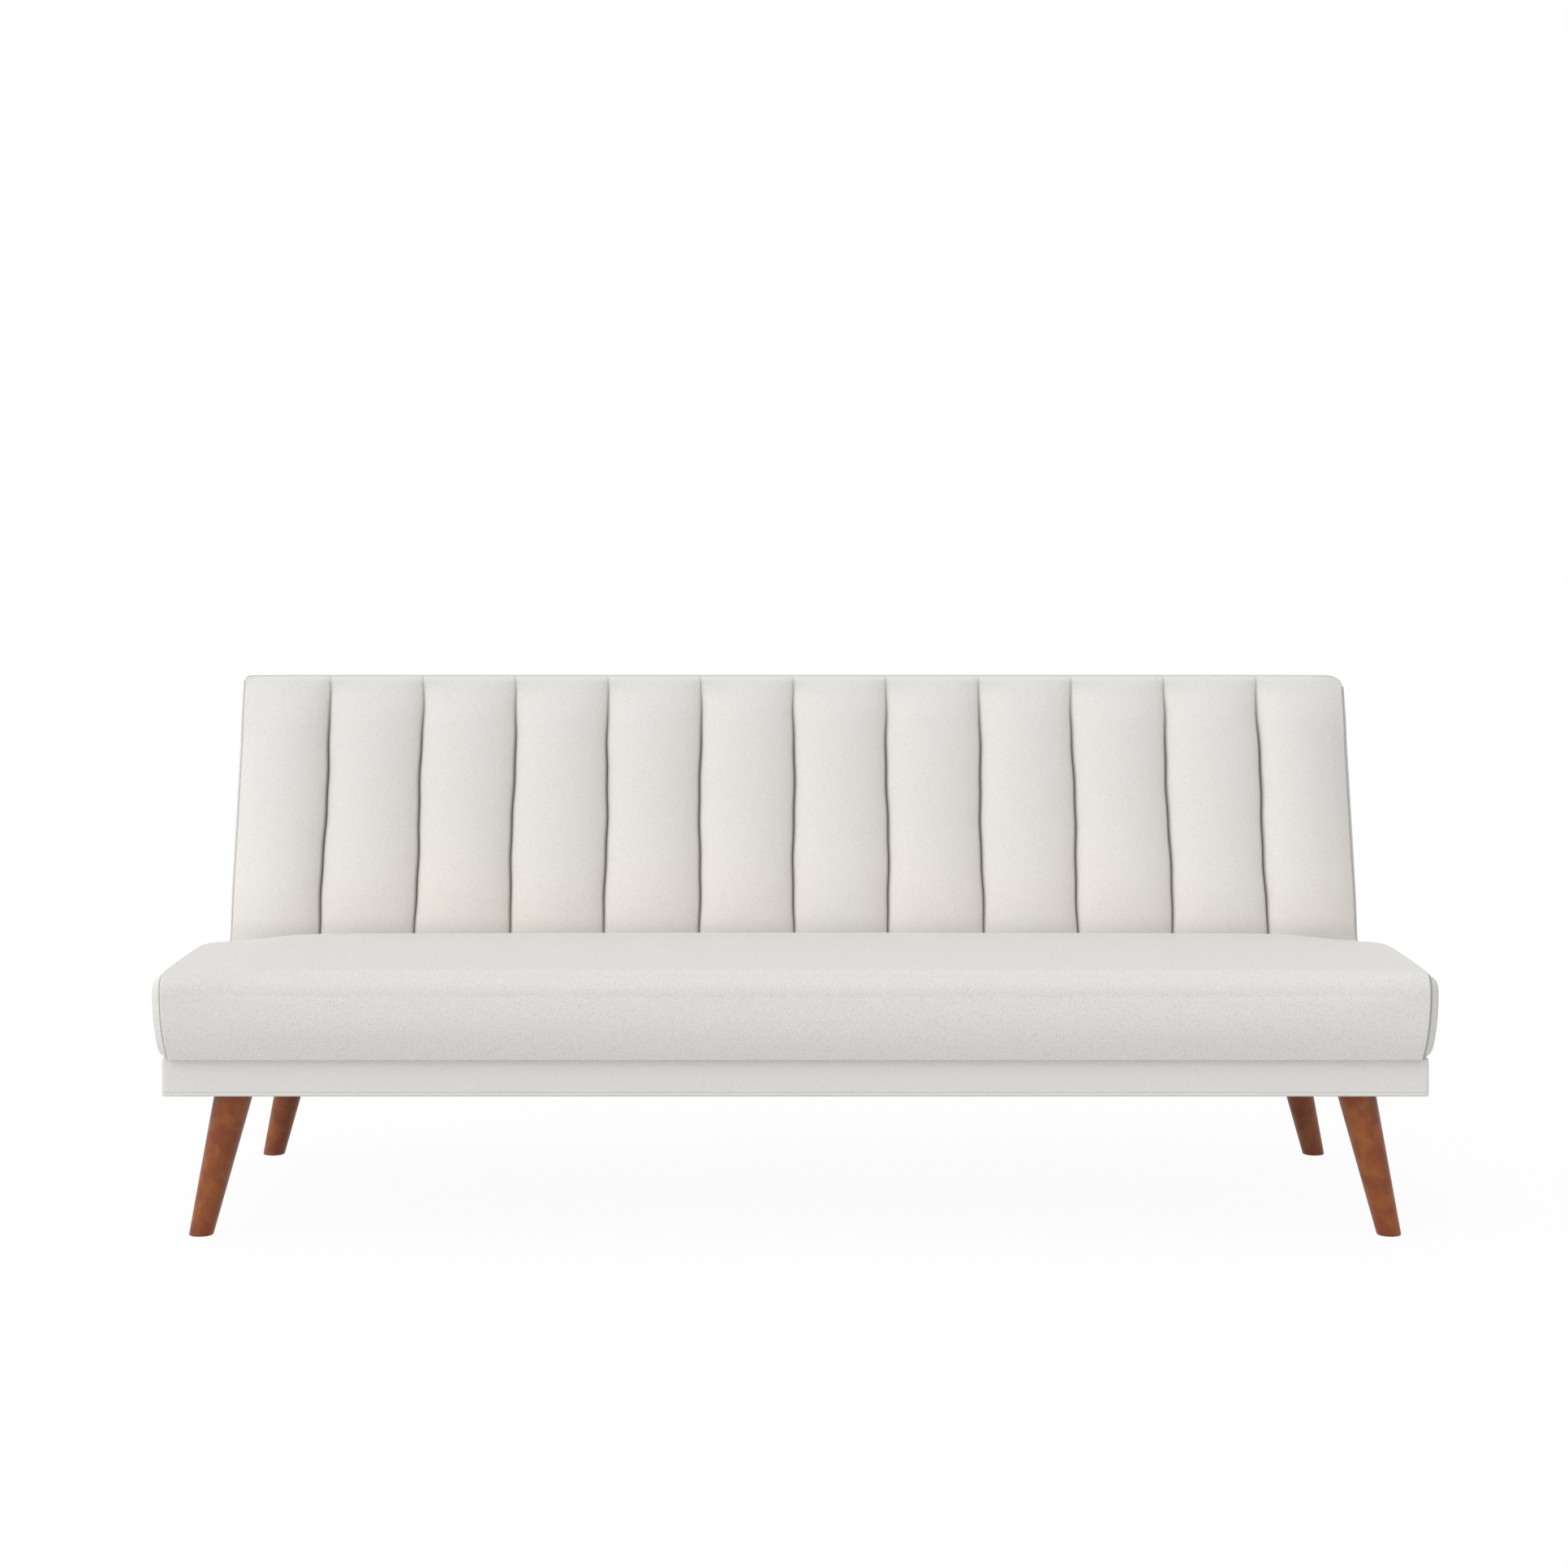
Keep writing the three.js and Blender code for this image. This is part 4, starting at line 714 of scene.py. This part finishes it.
def back_shade(face, share, above_foot, distance, from_end, over_top, from_top):
    """How dark the back's colour is painted, by the darkest of four: thread and painted shade in a crease,
    which pales towards the top, thread and painted shade in the seams at the ends, painted shade over the
    gap above the seat, and a painted shade line on the arc of the top edge."""
    crease_shade_width, crease_shade_over_top, pale_stretch = 2.4 * MM, 0.3, 130 * MM
    gap_shade, gap_height, gap_edge = 0.22, 52 * MM, 42 * MM
    top_shade, top_edge_shade_place, top_edge_shade_slope = 0.5, 1 / 3, 5  # place and slope over the corner's arc
    # The crease line: thread, and painted shade at the crease's bottom, which pales towards the top.
    thread = np.clip(1 - distance / crease_shade_width, 0, 1)
    crease_shade_below_top = (1 - crease_shade_over_top) * smooth(from_top / pale_stretch)
    thread = thread * (over_top * (crease_shade_over_top + crease_shade_below_top))
    # Thread and painted shade in the seams at the back's ends.
    end_seam_shade = BACK_SEAM_SHADE * np.clip(1 - from_end / (0.6 * SEAM_CROWN), 0, 1)
    # Painted shade over the low front, where the back meets the seat.
    low_front = (face == FRONT) | (face == FRONT_BOTTOM)
    gap = gap_shade * (1 - smooth((above_foot - gap_height) / gap_edge)) * low_front
    # A painted shade line along the arc of the top edge.
    from_top_edge_shade = np.abs(share - top_edge_shade_place)
    top_edge_shade = top_shade * np.clip(1 - top_edge_shade_slope * from_top_edge_shade, 0, 1) * (face == FRONT_TOP)
    return np.maximum(np.maximum(thread, end_seam_shade), np.maximum(gap, top_edge_shade))


def back_openings(x, face, share, lap_share, slot, end_x):
    """Where the back's cover is open: the slots round the hinges, and the rear that its panel closes."""
    border = 20 * MM
    middle_x = np.abs(x[:-1] + x[1:]) / 2
    after = np.roll(face, -1)
    low_rear = ((face == BOTTOM) | (after == BOTTOM) | (face == REAR_BOTTOM))[None, :]
    slots = (middle_x > slot[0]) & (middle_x < slot[1]) & low_rear
    rear_face = ((face == REAR) & (share < lap_share)) | (after == REAR)
    return slots | (rear_face[None, :] & (middle_x < end_x - border))


def back_cover():
    """The back's cover: padded outlines carried along X, whose front has the channels' relief, with a
    flat boxing panel at each end, worked out upright and leaned into place."""
    sizes = bpy.context.scene.sofa_sizes
    low, high = upright_box("back_cushion")
    half = high[0]
    front, rear, bottom, top = low[1] + sizes.channel_crown, high[1], low[2], high[2]
    widening = 0.5 * MM  # makes up for the fall of the end channels in the view from the front
    end_x = half + widening
    slot = hinge_slot()
    edges = channel_edges(half)
    x = back_rows(edges, end_x, slot)[:, None]
    from_end = end_x - np.abs(x)
    tuck = SEAM_CROWN * (1 - roll(from_end, SEAM_CROWN))
    left_corner, right_corner = 12 * MM, 28 * MM
    corner_radius = np.where(x < 0, left_corner, right_corner)
    dip = corner_radius * (1 - roll(from_end + SEAM_CROWN, corner_radius))
    radii = [30 * MM, 25 * MM, 18 * MM, 14 * MM]
    rear_lap = 7 * MM
    lap_share = 1 - rear_lap / (top - bottom - radii[1] - radii[2])
    face_shares = [between(5), np.append(between(39), lap_share), between(5), between(40)]
    y, z, face, share = padded_outline(front + tuck, rear - tuck, bottom + tuck, top - tuck - dip,
                                       radii, face_shares, ARC_STEPS)

    on_front = face == FRONT
    over_top = np.where(face == FRONT_TOP, share, 0.0) + on_front
    length = top - bottom - (radii[0] + radii[3])
    from_top = np.where(on_front, share, 0.0) * length
    from_bottom = np.where(on_front, 1 - share, 0.0) * length + np.where(face == FRONT_TOP, length, 0.0)
    number, t, distance = across_channels(x, edges)
    rise, sink, fall = channel_relief(number, t, over_top, from_top, from_bottom)
    stray_stretch = 60 * MM
    stray_fade = smooth(from_top / stray_stretch) * smooth(from_bottom / stray_stretch)
    wrap = np.stack([x + crease_stray(number, t, z) * stray_fade, y - rise + sink + fall, z], -1)

    sewn = back_shade(face, share, z - bottom, distance, from_end, over_top, from_top)
    creased = on_front | (face == FRONT_TOP) | (face == FRONT_BOTTOM)
    on_crease = (distance < ON_LINE) & creased[None, :]
    looseness = np.where(on_front, 1.0, 0.25) * ((face != BOTTOM) & (face != REAR))
    held_foot, slack_stretch = 45 * MM, 60 * MM
    looseness = smooth((z - bottom - held_foot) / slack_stretch) * looseness
    free = np.where(on_crease | (from_end < ON_LINE), 0.0, looseness)
    kept = ~back_openings(x, face, share, lap_share, slot, end_x)
    patches = [patch(wrap, closed=True, kept=kept, sewn=sewn, free=free, crease=on_crease * over_top)]
    patches += end_patches(wrap, face_shares, crown=1 * MM, edge_radius=30 * MM,
                           darkness=BACK_SEAM_SHADE, give=1.0)
    return leaned(join(patches))


def rounded_block(low, high, radius, bottom=None, rows=()):
    """A block of foam with rounded long edges: the padded outline carried along X, drawn in over the last
    radius at both ends. bottom gives the height of the underside at each row where it isn't flat."""
    from_end = radius * np.array([0.0, 0.2, 0.5, 1.0])
    middle = np.linspace(low[0] + 2 * radius, high[0] - 2 * radius, 25)
    x = np.unique(np.concatenate([low[0] + from_end, middle, rows, high[0] - from_end]))[:, None]
    near = np.minimum(x - low[0], high[0] - x)
    tuck = radius * (1 - roll(near, radius))
    under = low[2] if bottom is None else bottom(x)
    face_shares, arc_steps = [between(4)] * 4, 4
    y, z, _, _ = padded_outline(low[1] + tuck, high[1] - tuck, under + tuck, high[2] - tuck,
                                [radius] * 4, face_shares, arc_steps)
    wrap = np.stack([x + 0 * y, y, z], -1)
    ends = [patch(fill_ring(wrap[row], face_shares, arc_steps), inside_out=row == 0) for row in (0, -1)]
    return join([patch(wrap, closed=True)] + ends)


def back_core():
    """The back's foam core: a rounded block whose underside steps up over the hinge slots."""
    low, high = upright_box("back_foam")
    slot_in, slot_out = hinge_slot()
    slot_top = 46.5 * MM
    sheer = 0.4 * MM
    edges = np.array([slot_in, slot_in + sheer, slot_out - sheer, slot_out])

    def underside(x):
        return np.where((np.abs(x) > slot_in + sheer / 2) & (np.abs(x) < slot_out - sheer / 2),
                        slot_top, low[2])

    return leaned(rounded_block(low, high, 6 * MM, underside, np.concatenate([-edges, edges])))


def rear_panel():
    """The panel that closes the back's rear, in the back's own frame: a sheet that lies flat inside a
    turned hem, drawn in a little between the staples along its edge, with a notch over each hinge."""
    low, high = upright_box("back_rear_panel")
    slot_in, slot_out = hinge_slot()
    notch_top = 36 * MM
    hem, hem_rise, fold = 12 * MM, 0.7 * MM, 1.5 * MM
    staple_pitch, staple_dip, dip_reach = 42 * MM, 0.5 * MM, 30 * MM
    inner, clearance, flat_edge, stitch_width = 20 * MM, 0.1 * MM, 2 * MM, 0.8 * MM
    edges = np.array([0.0, 0.6, 1.5, 10.5, 12.0, 13.5]) * MM
    slots = [-slot_out, -slot_in, slot_in, slot_out]
    lines = [np.unique(np.concatenate([low[axis] + edges, high[axis] - edges, extra,
                                       np.linspace(low[axis] + inner, high[axis] - inner, count)]))
             for axis, count, extra in ((0, 161, slots), (2, 41, [notch_top]))]
    x, z = np.meshgrid(*lines)
    from_side = np.minimum(x - low[0], high[0] - x)
    from_flat = np.minimum(z - low[2], high[2] - z)
    near = np.minimum(from_side, from_flat)
    along = np.where(from_side < from_flat, z, x)
    lap = smooth((hem + fold - near) / (2 * fold)) * roll(near, fold)
    dip = staple_dip * np.exp(-near / dip_reach) * np.cos(math.pi * along / staple_pitch) ** 2
    y = high[1] - hem_rise - clearance + hem_rise * lap - dip * smooth(near / flat_edge)
    middle_x = np.abs(x[:-1, :-1] + x[1:, 1:]) / 2
    middle_z = (z[:-1, :-1] + z[1:, 1:]) / 2
    notch = (middle_x > slot_in) & (middle_x < slot_out) & (middle_z < notch_top)
    stitch = np.exp(-((near - hem) / stitch_width) ** 2)
    grid = np.stack([x, y, z], -1)
    return leaned(join([patch(grid, inside_out=True, kept=~notch, sewn=0.5 * stitch)]))


def rail_profile(bottom, top):
    """The rail cover's profile, from its lower fold to its upper one: how far out and how high each point
    lies, and its share of the pressed groove near the foot, which is a bell curve over the height."""
    edge, fold, fine_height = 1.6 * MM, 18 * MM, 8 * MM
    groove_height, groove_depth, groove_width = 4.2 * MM, 0.7 * MM, 1.1 * MM
    arc = np.linspace(0, math.pi / 2, 6)
    heights = np.concatenate([np.linspace(bottom + edge, bottom + fine_height, 14)[1:],
                              np.linspace(bottom + fine_height, top - edge, 9)[1:-1]])
    out = np.concatenate([[-fold, -fold / 2], edge * (np.sin(arc) - 1), 0 * heights,
                          edge * (np.cos(arc) - 1), [-fold / 2, -fold]])
    up = np.concatenate([[bottom] * 2, bottom + edge * (1 - np.cos(arc)), heights,
                         top - edge * (1 - np.sin(arc)), [top] * 2])
    groove, thread = [np.exp(-((up - bottom - groove_height) / width) ** 2) * (out > -edge)
                      for width in (groove_width, 0.6 * groove_width)]
    return out - groove_depth * groove, up, thread


def rail_wrap():
    """The faux leather round the frame: a folded profile carried round a rectangle with rounded corners,
    and mitred inside the corner radius. A slight ripple, the product of two sines, fades at the folds."""
    low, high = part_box("rail_cover_front")
    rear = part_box("rail_cover_rear")[1].y
    corner, steps = 4 * MM, 5
    ripple, long_wave, short_wave, turn_wave = 0.35 * MM, 61 * MM, 23 * MM, 47 * MM
    fold_fade, side_fade = 12 * MM, 30 * MM
    out, up, thread = rail_profile(low.z, high.z)
    quarter = np.linspace(0, math.pi / 2, steps)
    angle = np.concatenate([quarter + turn * math.pi / 2 for turn in range(4)])
    sign_x, sign_y = np.repeat([1, -1, -1, 1], steps), np.repeat([1, 1, -1, -1], steps)
    stretch = np.concatenate([np.arange(steps), steps - 1 + between(40)])
    place = np.concatenate([turn * steps + stretch for turn in range(4)])
    inset = np.maximum(corner, -out)[:, None]
    round_radius = np.maximum(corner + out, 0)[:, None]
    ring_x = sign_x * (high.x - inset) + round_radius * np.cos(angle)
    ring_y = np.where(sign_y > 0, rear - inset, low.y + inset) + round_radius * np.sin(angle)
    first = np.floor(place).astype(int) % len(angle)
    share = place - np.floor(place)
    after = (first + 1) % len(angle)
    x = ring_x[:, first] * (1 - share) + ring_x[:, after] * share
    y = ring_y[:, first] * (1 - share) + ring_y[:, after] * share
    wave = ripple * np.sin(x / long_wave) * np.sin(x / short_wave + y / turn_wave + 1)
    face = smooth((up - low.z) / fold_fade) * smooth((high.z - up) / fold_fade)
    from_side = np.minimum(1, np.abs(np.abs(x) - high.x) / side_fade)
    y = y - wave * face[:, None] * from_side * np.sign(-y)
    grid = np.stack([x, y, up[:, None] + 0 * x], -1)
    return join([patch(grid, closed=True, inside_out=True, sewn=0.45 * thread[:, None])])


def turned_leg(corner, side):
    """A turned leg that leans outwards: its side is made of the straight lines of a cone round the leaning
    axis, cut by level planes at the top and the foot. A bolt hole runs down its top, and the foot has a
    round recess for its glide. Rings run from the bolt hole's end outside down to the recess."""
    legs = bpy.context.scene.sofa_legs
    low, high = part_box(f"leg_{corner}")
    glide_low, glide_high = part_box(f"foot_glide_{corner}")
    foot = np.array([(glide_low.x + glide_high.x) / 2, (glide_low.y + glide_high.y) / 2, 0.0])
    frame_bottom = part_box("rail_cover_front")[0].z
    top = foot + np.array([-side * legs.splay, 0, frame_bottom])
    length = np.linalg.norm(foot - top)
    down = (foot - top) / length
    across = np.array([0.0, 1.0, 0.0])
    outward = np.cross(across, down)
    angle = np.linspace(0, 2 * math.pi, 73)[:-1]
    around = np.cos(angle)[:, None] * outward + np.sin(angle)[:, None] * across
    cone_taper = (legs.top_radius - legs.foot_radius) / length

    def level_ring(z, radius, taper=0.0):
        along = (z - top[2] - radius * around[:, 2]) / (down[2] - taper * around[:, 2])
        return top + along[:, None] * down + (radius - taper * along)[:, None] * around

    def cone_ring(z, smaller):
        return level_ring(z, legs.top_radius - smaller, cone_taper)

    gap = 0.3 * MM
    recess_radius = (glide_high.x - glide_low.x) / 2 + gap
    recess = np.stack([np.cos(angle) * np.sign(outward[0]), np.sin(angle), 0 * angle], -1) * recess_radius
    recess_top = np.array([foot[0], foot[1], glide_high.z + gap])
    recess_rim = np.array([foot[0], foot[1], low.z])
    bolt_end = top + down * legs.bolt_depth
    edge, below_top, above_foot = 1.6 * MM, 4 * MM, 5 * MM
    heights = np.concatenate([high.z - edge * np.array([0.3, 1.0]),
                              np.linspace(high.z - below_top, low.z + above_foot, 27),
                              low.z + edge * np.array([1.0, 0.6, 0.3, 0.1])])
    smaller = edge * (1 - roll(np.minimum(high.z - heights, heights - low.z), edge))
    grid = np.array([bolt_end + 0 * around, bolt_end + legs.bolt_radius * around,
                     level_ring(high.z, legs.bolt_radius), cone_ring(high.z, edge),
                     *[cone_ring(z, less) for z, less in zip(heights, smaller)],
                     cone_ring(low.z, edge), recess_rim + recess, recess_top + recess,
                     recess_top + 0 * around])
    local = grid - top
    grain = np.stack([local @ outward, local @ across, local @ down], -1)
    own_figure = 0.37 * side + 0.11 * np.sign(foot[1])  # each leg is cut from another stretch of wood
    return join([patch(grid, closed=True, inside_out=True, along_grain=grain + own_figure)])


# Operators: one for each piece or group of like pieces, and one for the stage

def leather_cover(name, body, material, thickness, rides_on, replaced, fill=None, sharp=None):
    """A cover of faux leather from its body: blown up if it has a fill, and given its thickness."""
    piece = make_piece(name, body, material, sharp)
    if fill is not None:
        inflate(piece, body["values"]["free"])
    finish_soft(piece, thickness)
    dress(piece, rides_on, replaced)


class SOFA_OT_seat(bpy.types.Operator):
    """Sews the seat's cover and blows it up over its foam"""
    bl_idname = "sofa.make_seat"
    bl_label = "Seat cushion"

    def execute(self, context):
        leather = new_material("seat_faux_leather", faux_leather, 2.3, 0.35, 0.12)
        leather_cover("seat_cover", seat_cover(), leather, context.scene.sofa_sizes.leather_thickness,
                      "base", ["seat_cushion"], fill=0.9)
        return {"FINISHED"}


class SOFA_OT_back(bpy.types.Operator):
    """Sews the back's channelled cover and blows its channels up"""
    bl_idname = "sofa.make_back"
    bl_label = "Back cushion"

    def execute(self, context):
        leather = new_material("back_faux_leather", faux_leather, 3.5, 0.3, 0.05, 0.6)
        leather_cover("back_cover", back_cover(), leather, context.scene.sofa_sizes.leather_thickness,
                      "back", ["back_cushion"], fill=0.9, sharp="crease")
        return {"FINISHED"}


class SOFA_OT_rear_panel(bpy.types.Operator):
    """Makes the hemmed panel that closes the back's rear"""
    bl_idname = "sofa.make_rear_panel"
    bl_label = "Rear panel"

    def execute(self, context):
        leather = new_material("panel_faux_leather", faux_leather, 3.5, 0.3, 0.05)
        leather_cover("rear_panel", rear_panel(), leather, 1.2 * MM, "back", ["back_rear_panel"])
        return {"FINISHED"}


class SOFA_OT_rail_wrap(bpy.types.Operator):
    """Wraps faux leather round the frame's rails"""
    bl_idname = "sofa.make_rail_wrap"
    bl_label = "Rail cover"

    def execute(self, context):
        leather = new_material("rail_faux_leather", faux_leather, 3.5, 0.3, 0.03)
        rails = [f"rail_cover_{place}" for place in ("front", "rear", "left", "right")]
        leather_cover("rail_cover", rail_wrap(), leather, 1.3 * MM, "base", rails)
        return {"FINISHED"}


class SOFA_OT_legs(bpy.types.Operator):
    """Turns the four legs"""
    bl_idname = "sofa.make_legs"
    bl_label = "Legs"

    def execute(self, context):
        wood = new_material("stained_rubberwood", stained_wood)
        for corner, side in CORNERS:
            piece = make_piece(f"turned_leg_{corner}", turned_leg(corner, side), wood)
            piece.data.set_sharp_from_angle(angle=math.radians(50))
            dress(piece, "base", [f"leg_{corner}"])
        return {"FINISHED"}


class SOFA_OT_foam(bpy.types.Operator):
    """Cuts the foam cores of the seat and the back"""
    bl_idname = "sofa.make_foam"
    bl_label = "Foam cores"

    def execute(self, context):
        foam = new_material("polyurethane_foam", cut_foam)
        low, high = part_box("seat_foam")
        seat = make_piece("seat_core", rounded_block(tuple(low), tuple(high), 9 * MM), foam)
        dress(seat, "base", ["seat_foam"])
        back = make_piece("back_core", back_core(), foam)
        dress(back, "back", ["back_foam"])
        return {"FINISHED"}


class SOFA_OT_frame_finishes(bpy.types.Operator):
    """Gives the hidden timber, steel, cloth and nylon pieces their finishes"""
    bl_idname = "sofa.finish_frame"
    bl_label = "Frame finishes"

    def execute(self, context):
        pine = [new_material(f"planed_pine_along_{name}", planed_pine, axis)
                for axis, name in enumerate("xyz")]
        finishes = {slot: new_material(*values) for slot, *values in (
            ("black_steel", "black_powder_coat", coated_metal, "#26262A", 0.0, 0.45, 1.5, 0.1),
            ("zinc_steel", "zinc_plated_steel", coated_metal, "#B9BCC0", 1.0, 0.34, 6, 0.05),
            ("spring_steel", "oil_tempered_wire", coated_metal, "#6E6F73", 1.0, 0.4, 9, 0.05),
            ("black_cloth", "bonded_polypropylene", woven_cloth, "#1D1D1F", "#333336", 1.4),
            ("webbing", "jute_webbing", woven_cloth, "#C9B08A", "#8E7448", 1.2),
            ("foot_nylon", "black_nylon", moulded_nylon, "#1E1E20"))}
        slots = {part["node"]: part["material_slot"] for part in frame["record"]["subparts"]}
        for name, node in frame["nodes"].items():
            slot = slots[name]
            if slot == "frame_timber":
                low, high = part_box(name)
                finish = pine[int(np.argmax(high - low))]
            elif slot in finishes:
                finish = finishes[slot]
            else:
                continue
            node.data.materials.clear()
            node.data.materials.append(finish)
        return {"FINISHED"}


class SOFA_OT_stage(bpy.types.Operator):
    """Sets up the floor, the studio light and the camera"""
    bl_idname = "sofa.make_stage"
    bl_label = "Stage"

    def execute(self, context):
        make_floor()
        light_studio()
        place_camera()
        context.scene.view_settings.view_transform = "Standard"
        return {"FINISHED"}


# Stage

def white_ray_share(tree):
    """1 for a ray that the camera, a gloss or a clear surface sends out, and 0 for a diffuse one."""
    path = add_node(tree, "LightPath").outputs
    seen = add_node(tree, "Math", {"operation": "MAXIMUM", 0: path["Is Camera Ray"],
                                   1: path["Is Glossy Ray"]})
    return add_node(tree, "Math", {"operation": "MAXIMUM", 0: seen, 1: path["Is Transmission Ray"]})


def white_floor(tree):
    """Matt pale paint that takes the sofa's shadow, and glows all but white where the camera sees it."""
    grey, white = (0.72, 0.72, 0.72), (1, 1, 1)
    paint = add_node(tree, "BsdfDiffuse", {"Color": mix_colours(tree, white_ray_share(tree), grey, white)})
    glow = add_node(tree, "Emission", {"Color": (*white, 1), "Strength": 1.0})
    share = add_node(tree, "Math", {"operation": "MULTIPLY", 0: white_ray_share(tree), 1: 0.95})
    return add_node(tree, "MixShader", {0: share, 1: paint, 2: glow})


def make_floor():
    """A wide level floor under the sofa."""
    reach = 40.0
    mesh = bpy.data.meshes.new("floor")
    mesh.from_pydata([(-reach, -reach, 0), (reach, -reach, 0), (reach, reach, 0), (-reach, reach, 0)],
                     [], [(0, 1, 2, 3)])
    mesh.materials.append(new_material("pale_floor", white_floor))
    add_object("floor", mesh)


def light_studio():
    """Soft light from all round, which grows in proportion to the cosine with the slant's direction, and a
    broad lamp at the front's left. Rays that see the world itself find it white."""
    stage = bpy.context.scene.sofa_stage
    world = bpy.data.worlds.new("studio")
    world.use_nodes = True
    tree = world.node_tree
    tree.nodes.clear()
    direction = add_node(tree, "TexCoord").outputs["Generated"]
    slanted = add_node(tree, "VectorMath", {"operation": "DOT_PRODUCT", 0: direction, 1: stage.slant})
    ambient = add_node(tree, "Math", {"operation": "MULTIPLY_ADD", 0: slanted.outputs["Value"],
                                      1: stage.ambient, 2: stage.ambient})
    strength = add_node(tree, "MapRange", {"Value": white_ray_share(tree), "To Min": ambient,
                                           "To Max": 1.0})
    sky = add_node(tree, "Background", {"Color": (1, 1, 1, 1), "Strength": strength})
    add_node(tree, "OutputWorld", {0: sky})
    bpy.context.scene.world = world
    light = bpy.data.lights.new("key_light", "SUN")
    light.energy = stage.key_light
    light.angle = math.radians(40)
    add_object("key_light", light).rotation_euler = (math.radians(45), 0, math.radians(-50))


def place_camera():
    """A level camera in front of the sofa, whose frame is shifted down as the photograph's is."""
    stage = bpy.context.scene.sofa_stage
    photo_size, pixels_down = 1932, 240
    data = bpy.data.cameras.new("camera")
    data.lens = stage.lens
    data.sensor_width = 36.0
    data.shift_y = -pixels_down / photo_size
    camera = add_object("camera", data)
    camera.location = (-stage.camera_left, -stage.camera_distance, stage.camera_height)
    camera.rotation_euler = (math.pi / 2, 0, 0)
    bpy.context.scene.camera = camera


OPERATORS = (SOFA_OT_seat, SOFA_OT_back, SOFA_OT_rear_panel, SOFA_OT_rail_wrap, SOFA_OT_legs,
             SOFA_OT_foam, SOFA_OT_frame_finishes, SOFA_OT_stage)
GROUPS = (("sofa_sizes", SofaSizes), ("sofa_legs", LegSizes), ("sofa_colours", SofaColours),
          ("sofa_stage", SofaStage))


class SOFA_PT_pieces(bpy.types.Panel):
    """The sofa's sizes and colours, and a button for each piece"""
    bl_idname = "SOFA_PT_pieces"
    bl_label = "Click clack sofa bed"
    bl_space_type = "VIEW_3D"
    bl_region_type = "UI"
    bl_category = "Sofa"

    def draw(self, context):
        for operator in OPERATORS:
            self.layout.operator(operator.bl_idname)
        for name, group in GROUPS:
            box = self.layout.box()
            for key in group.__annotations__:
                box.prop(getattr(context.scene, name), key)


def register():
    for name, group in GROUPS:
        bpy.utils.register_class(group)
        setattr(bpy.types.Scene, name, bpy.props.PointerProperty(type=group))
    for cls in (*OPERATORS, SOFA_PT_pieces):
        bpy.utils.register_class(cls)


def unregister():
    for cls in (SOFA_PT_pieces, *reversed(OPERATORS)):
        bpy.utils.unregister_class(cls)
    for name, group in reversed(GROUPS):
        delattr(bpy.types.Scene, name)
        bpy.utils.unregister_class(group)


def main():
    """Makes every piece and the stage."""
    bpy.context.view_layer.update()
    register()
    bpy.ops.sofa.make_seat()
    bpy.ops.sofa.make_back()
    bpy.ops.sofa.make_rear_panel()
    bpy.ops.sofa.make_rail_wrap()
    bpy.ops.sofa.make_legs()
    bpy.ops.sofa.make_foam()
    bpy.ops.sofa.finish_frame()
    bpy.ops.sofa.make_stage()


if __name__ == "__main__":
    main()
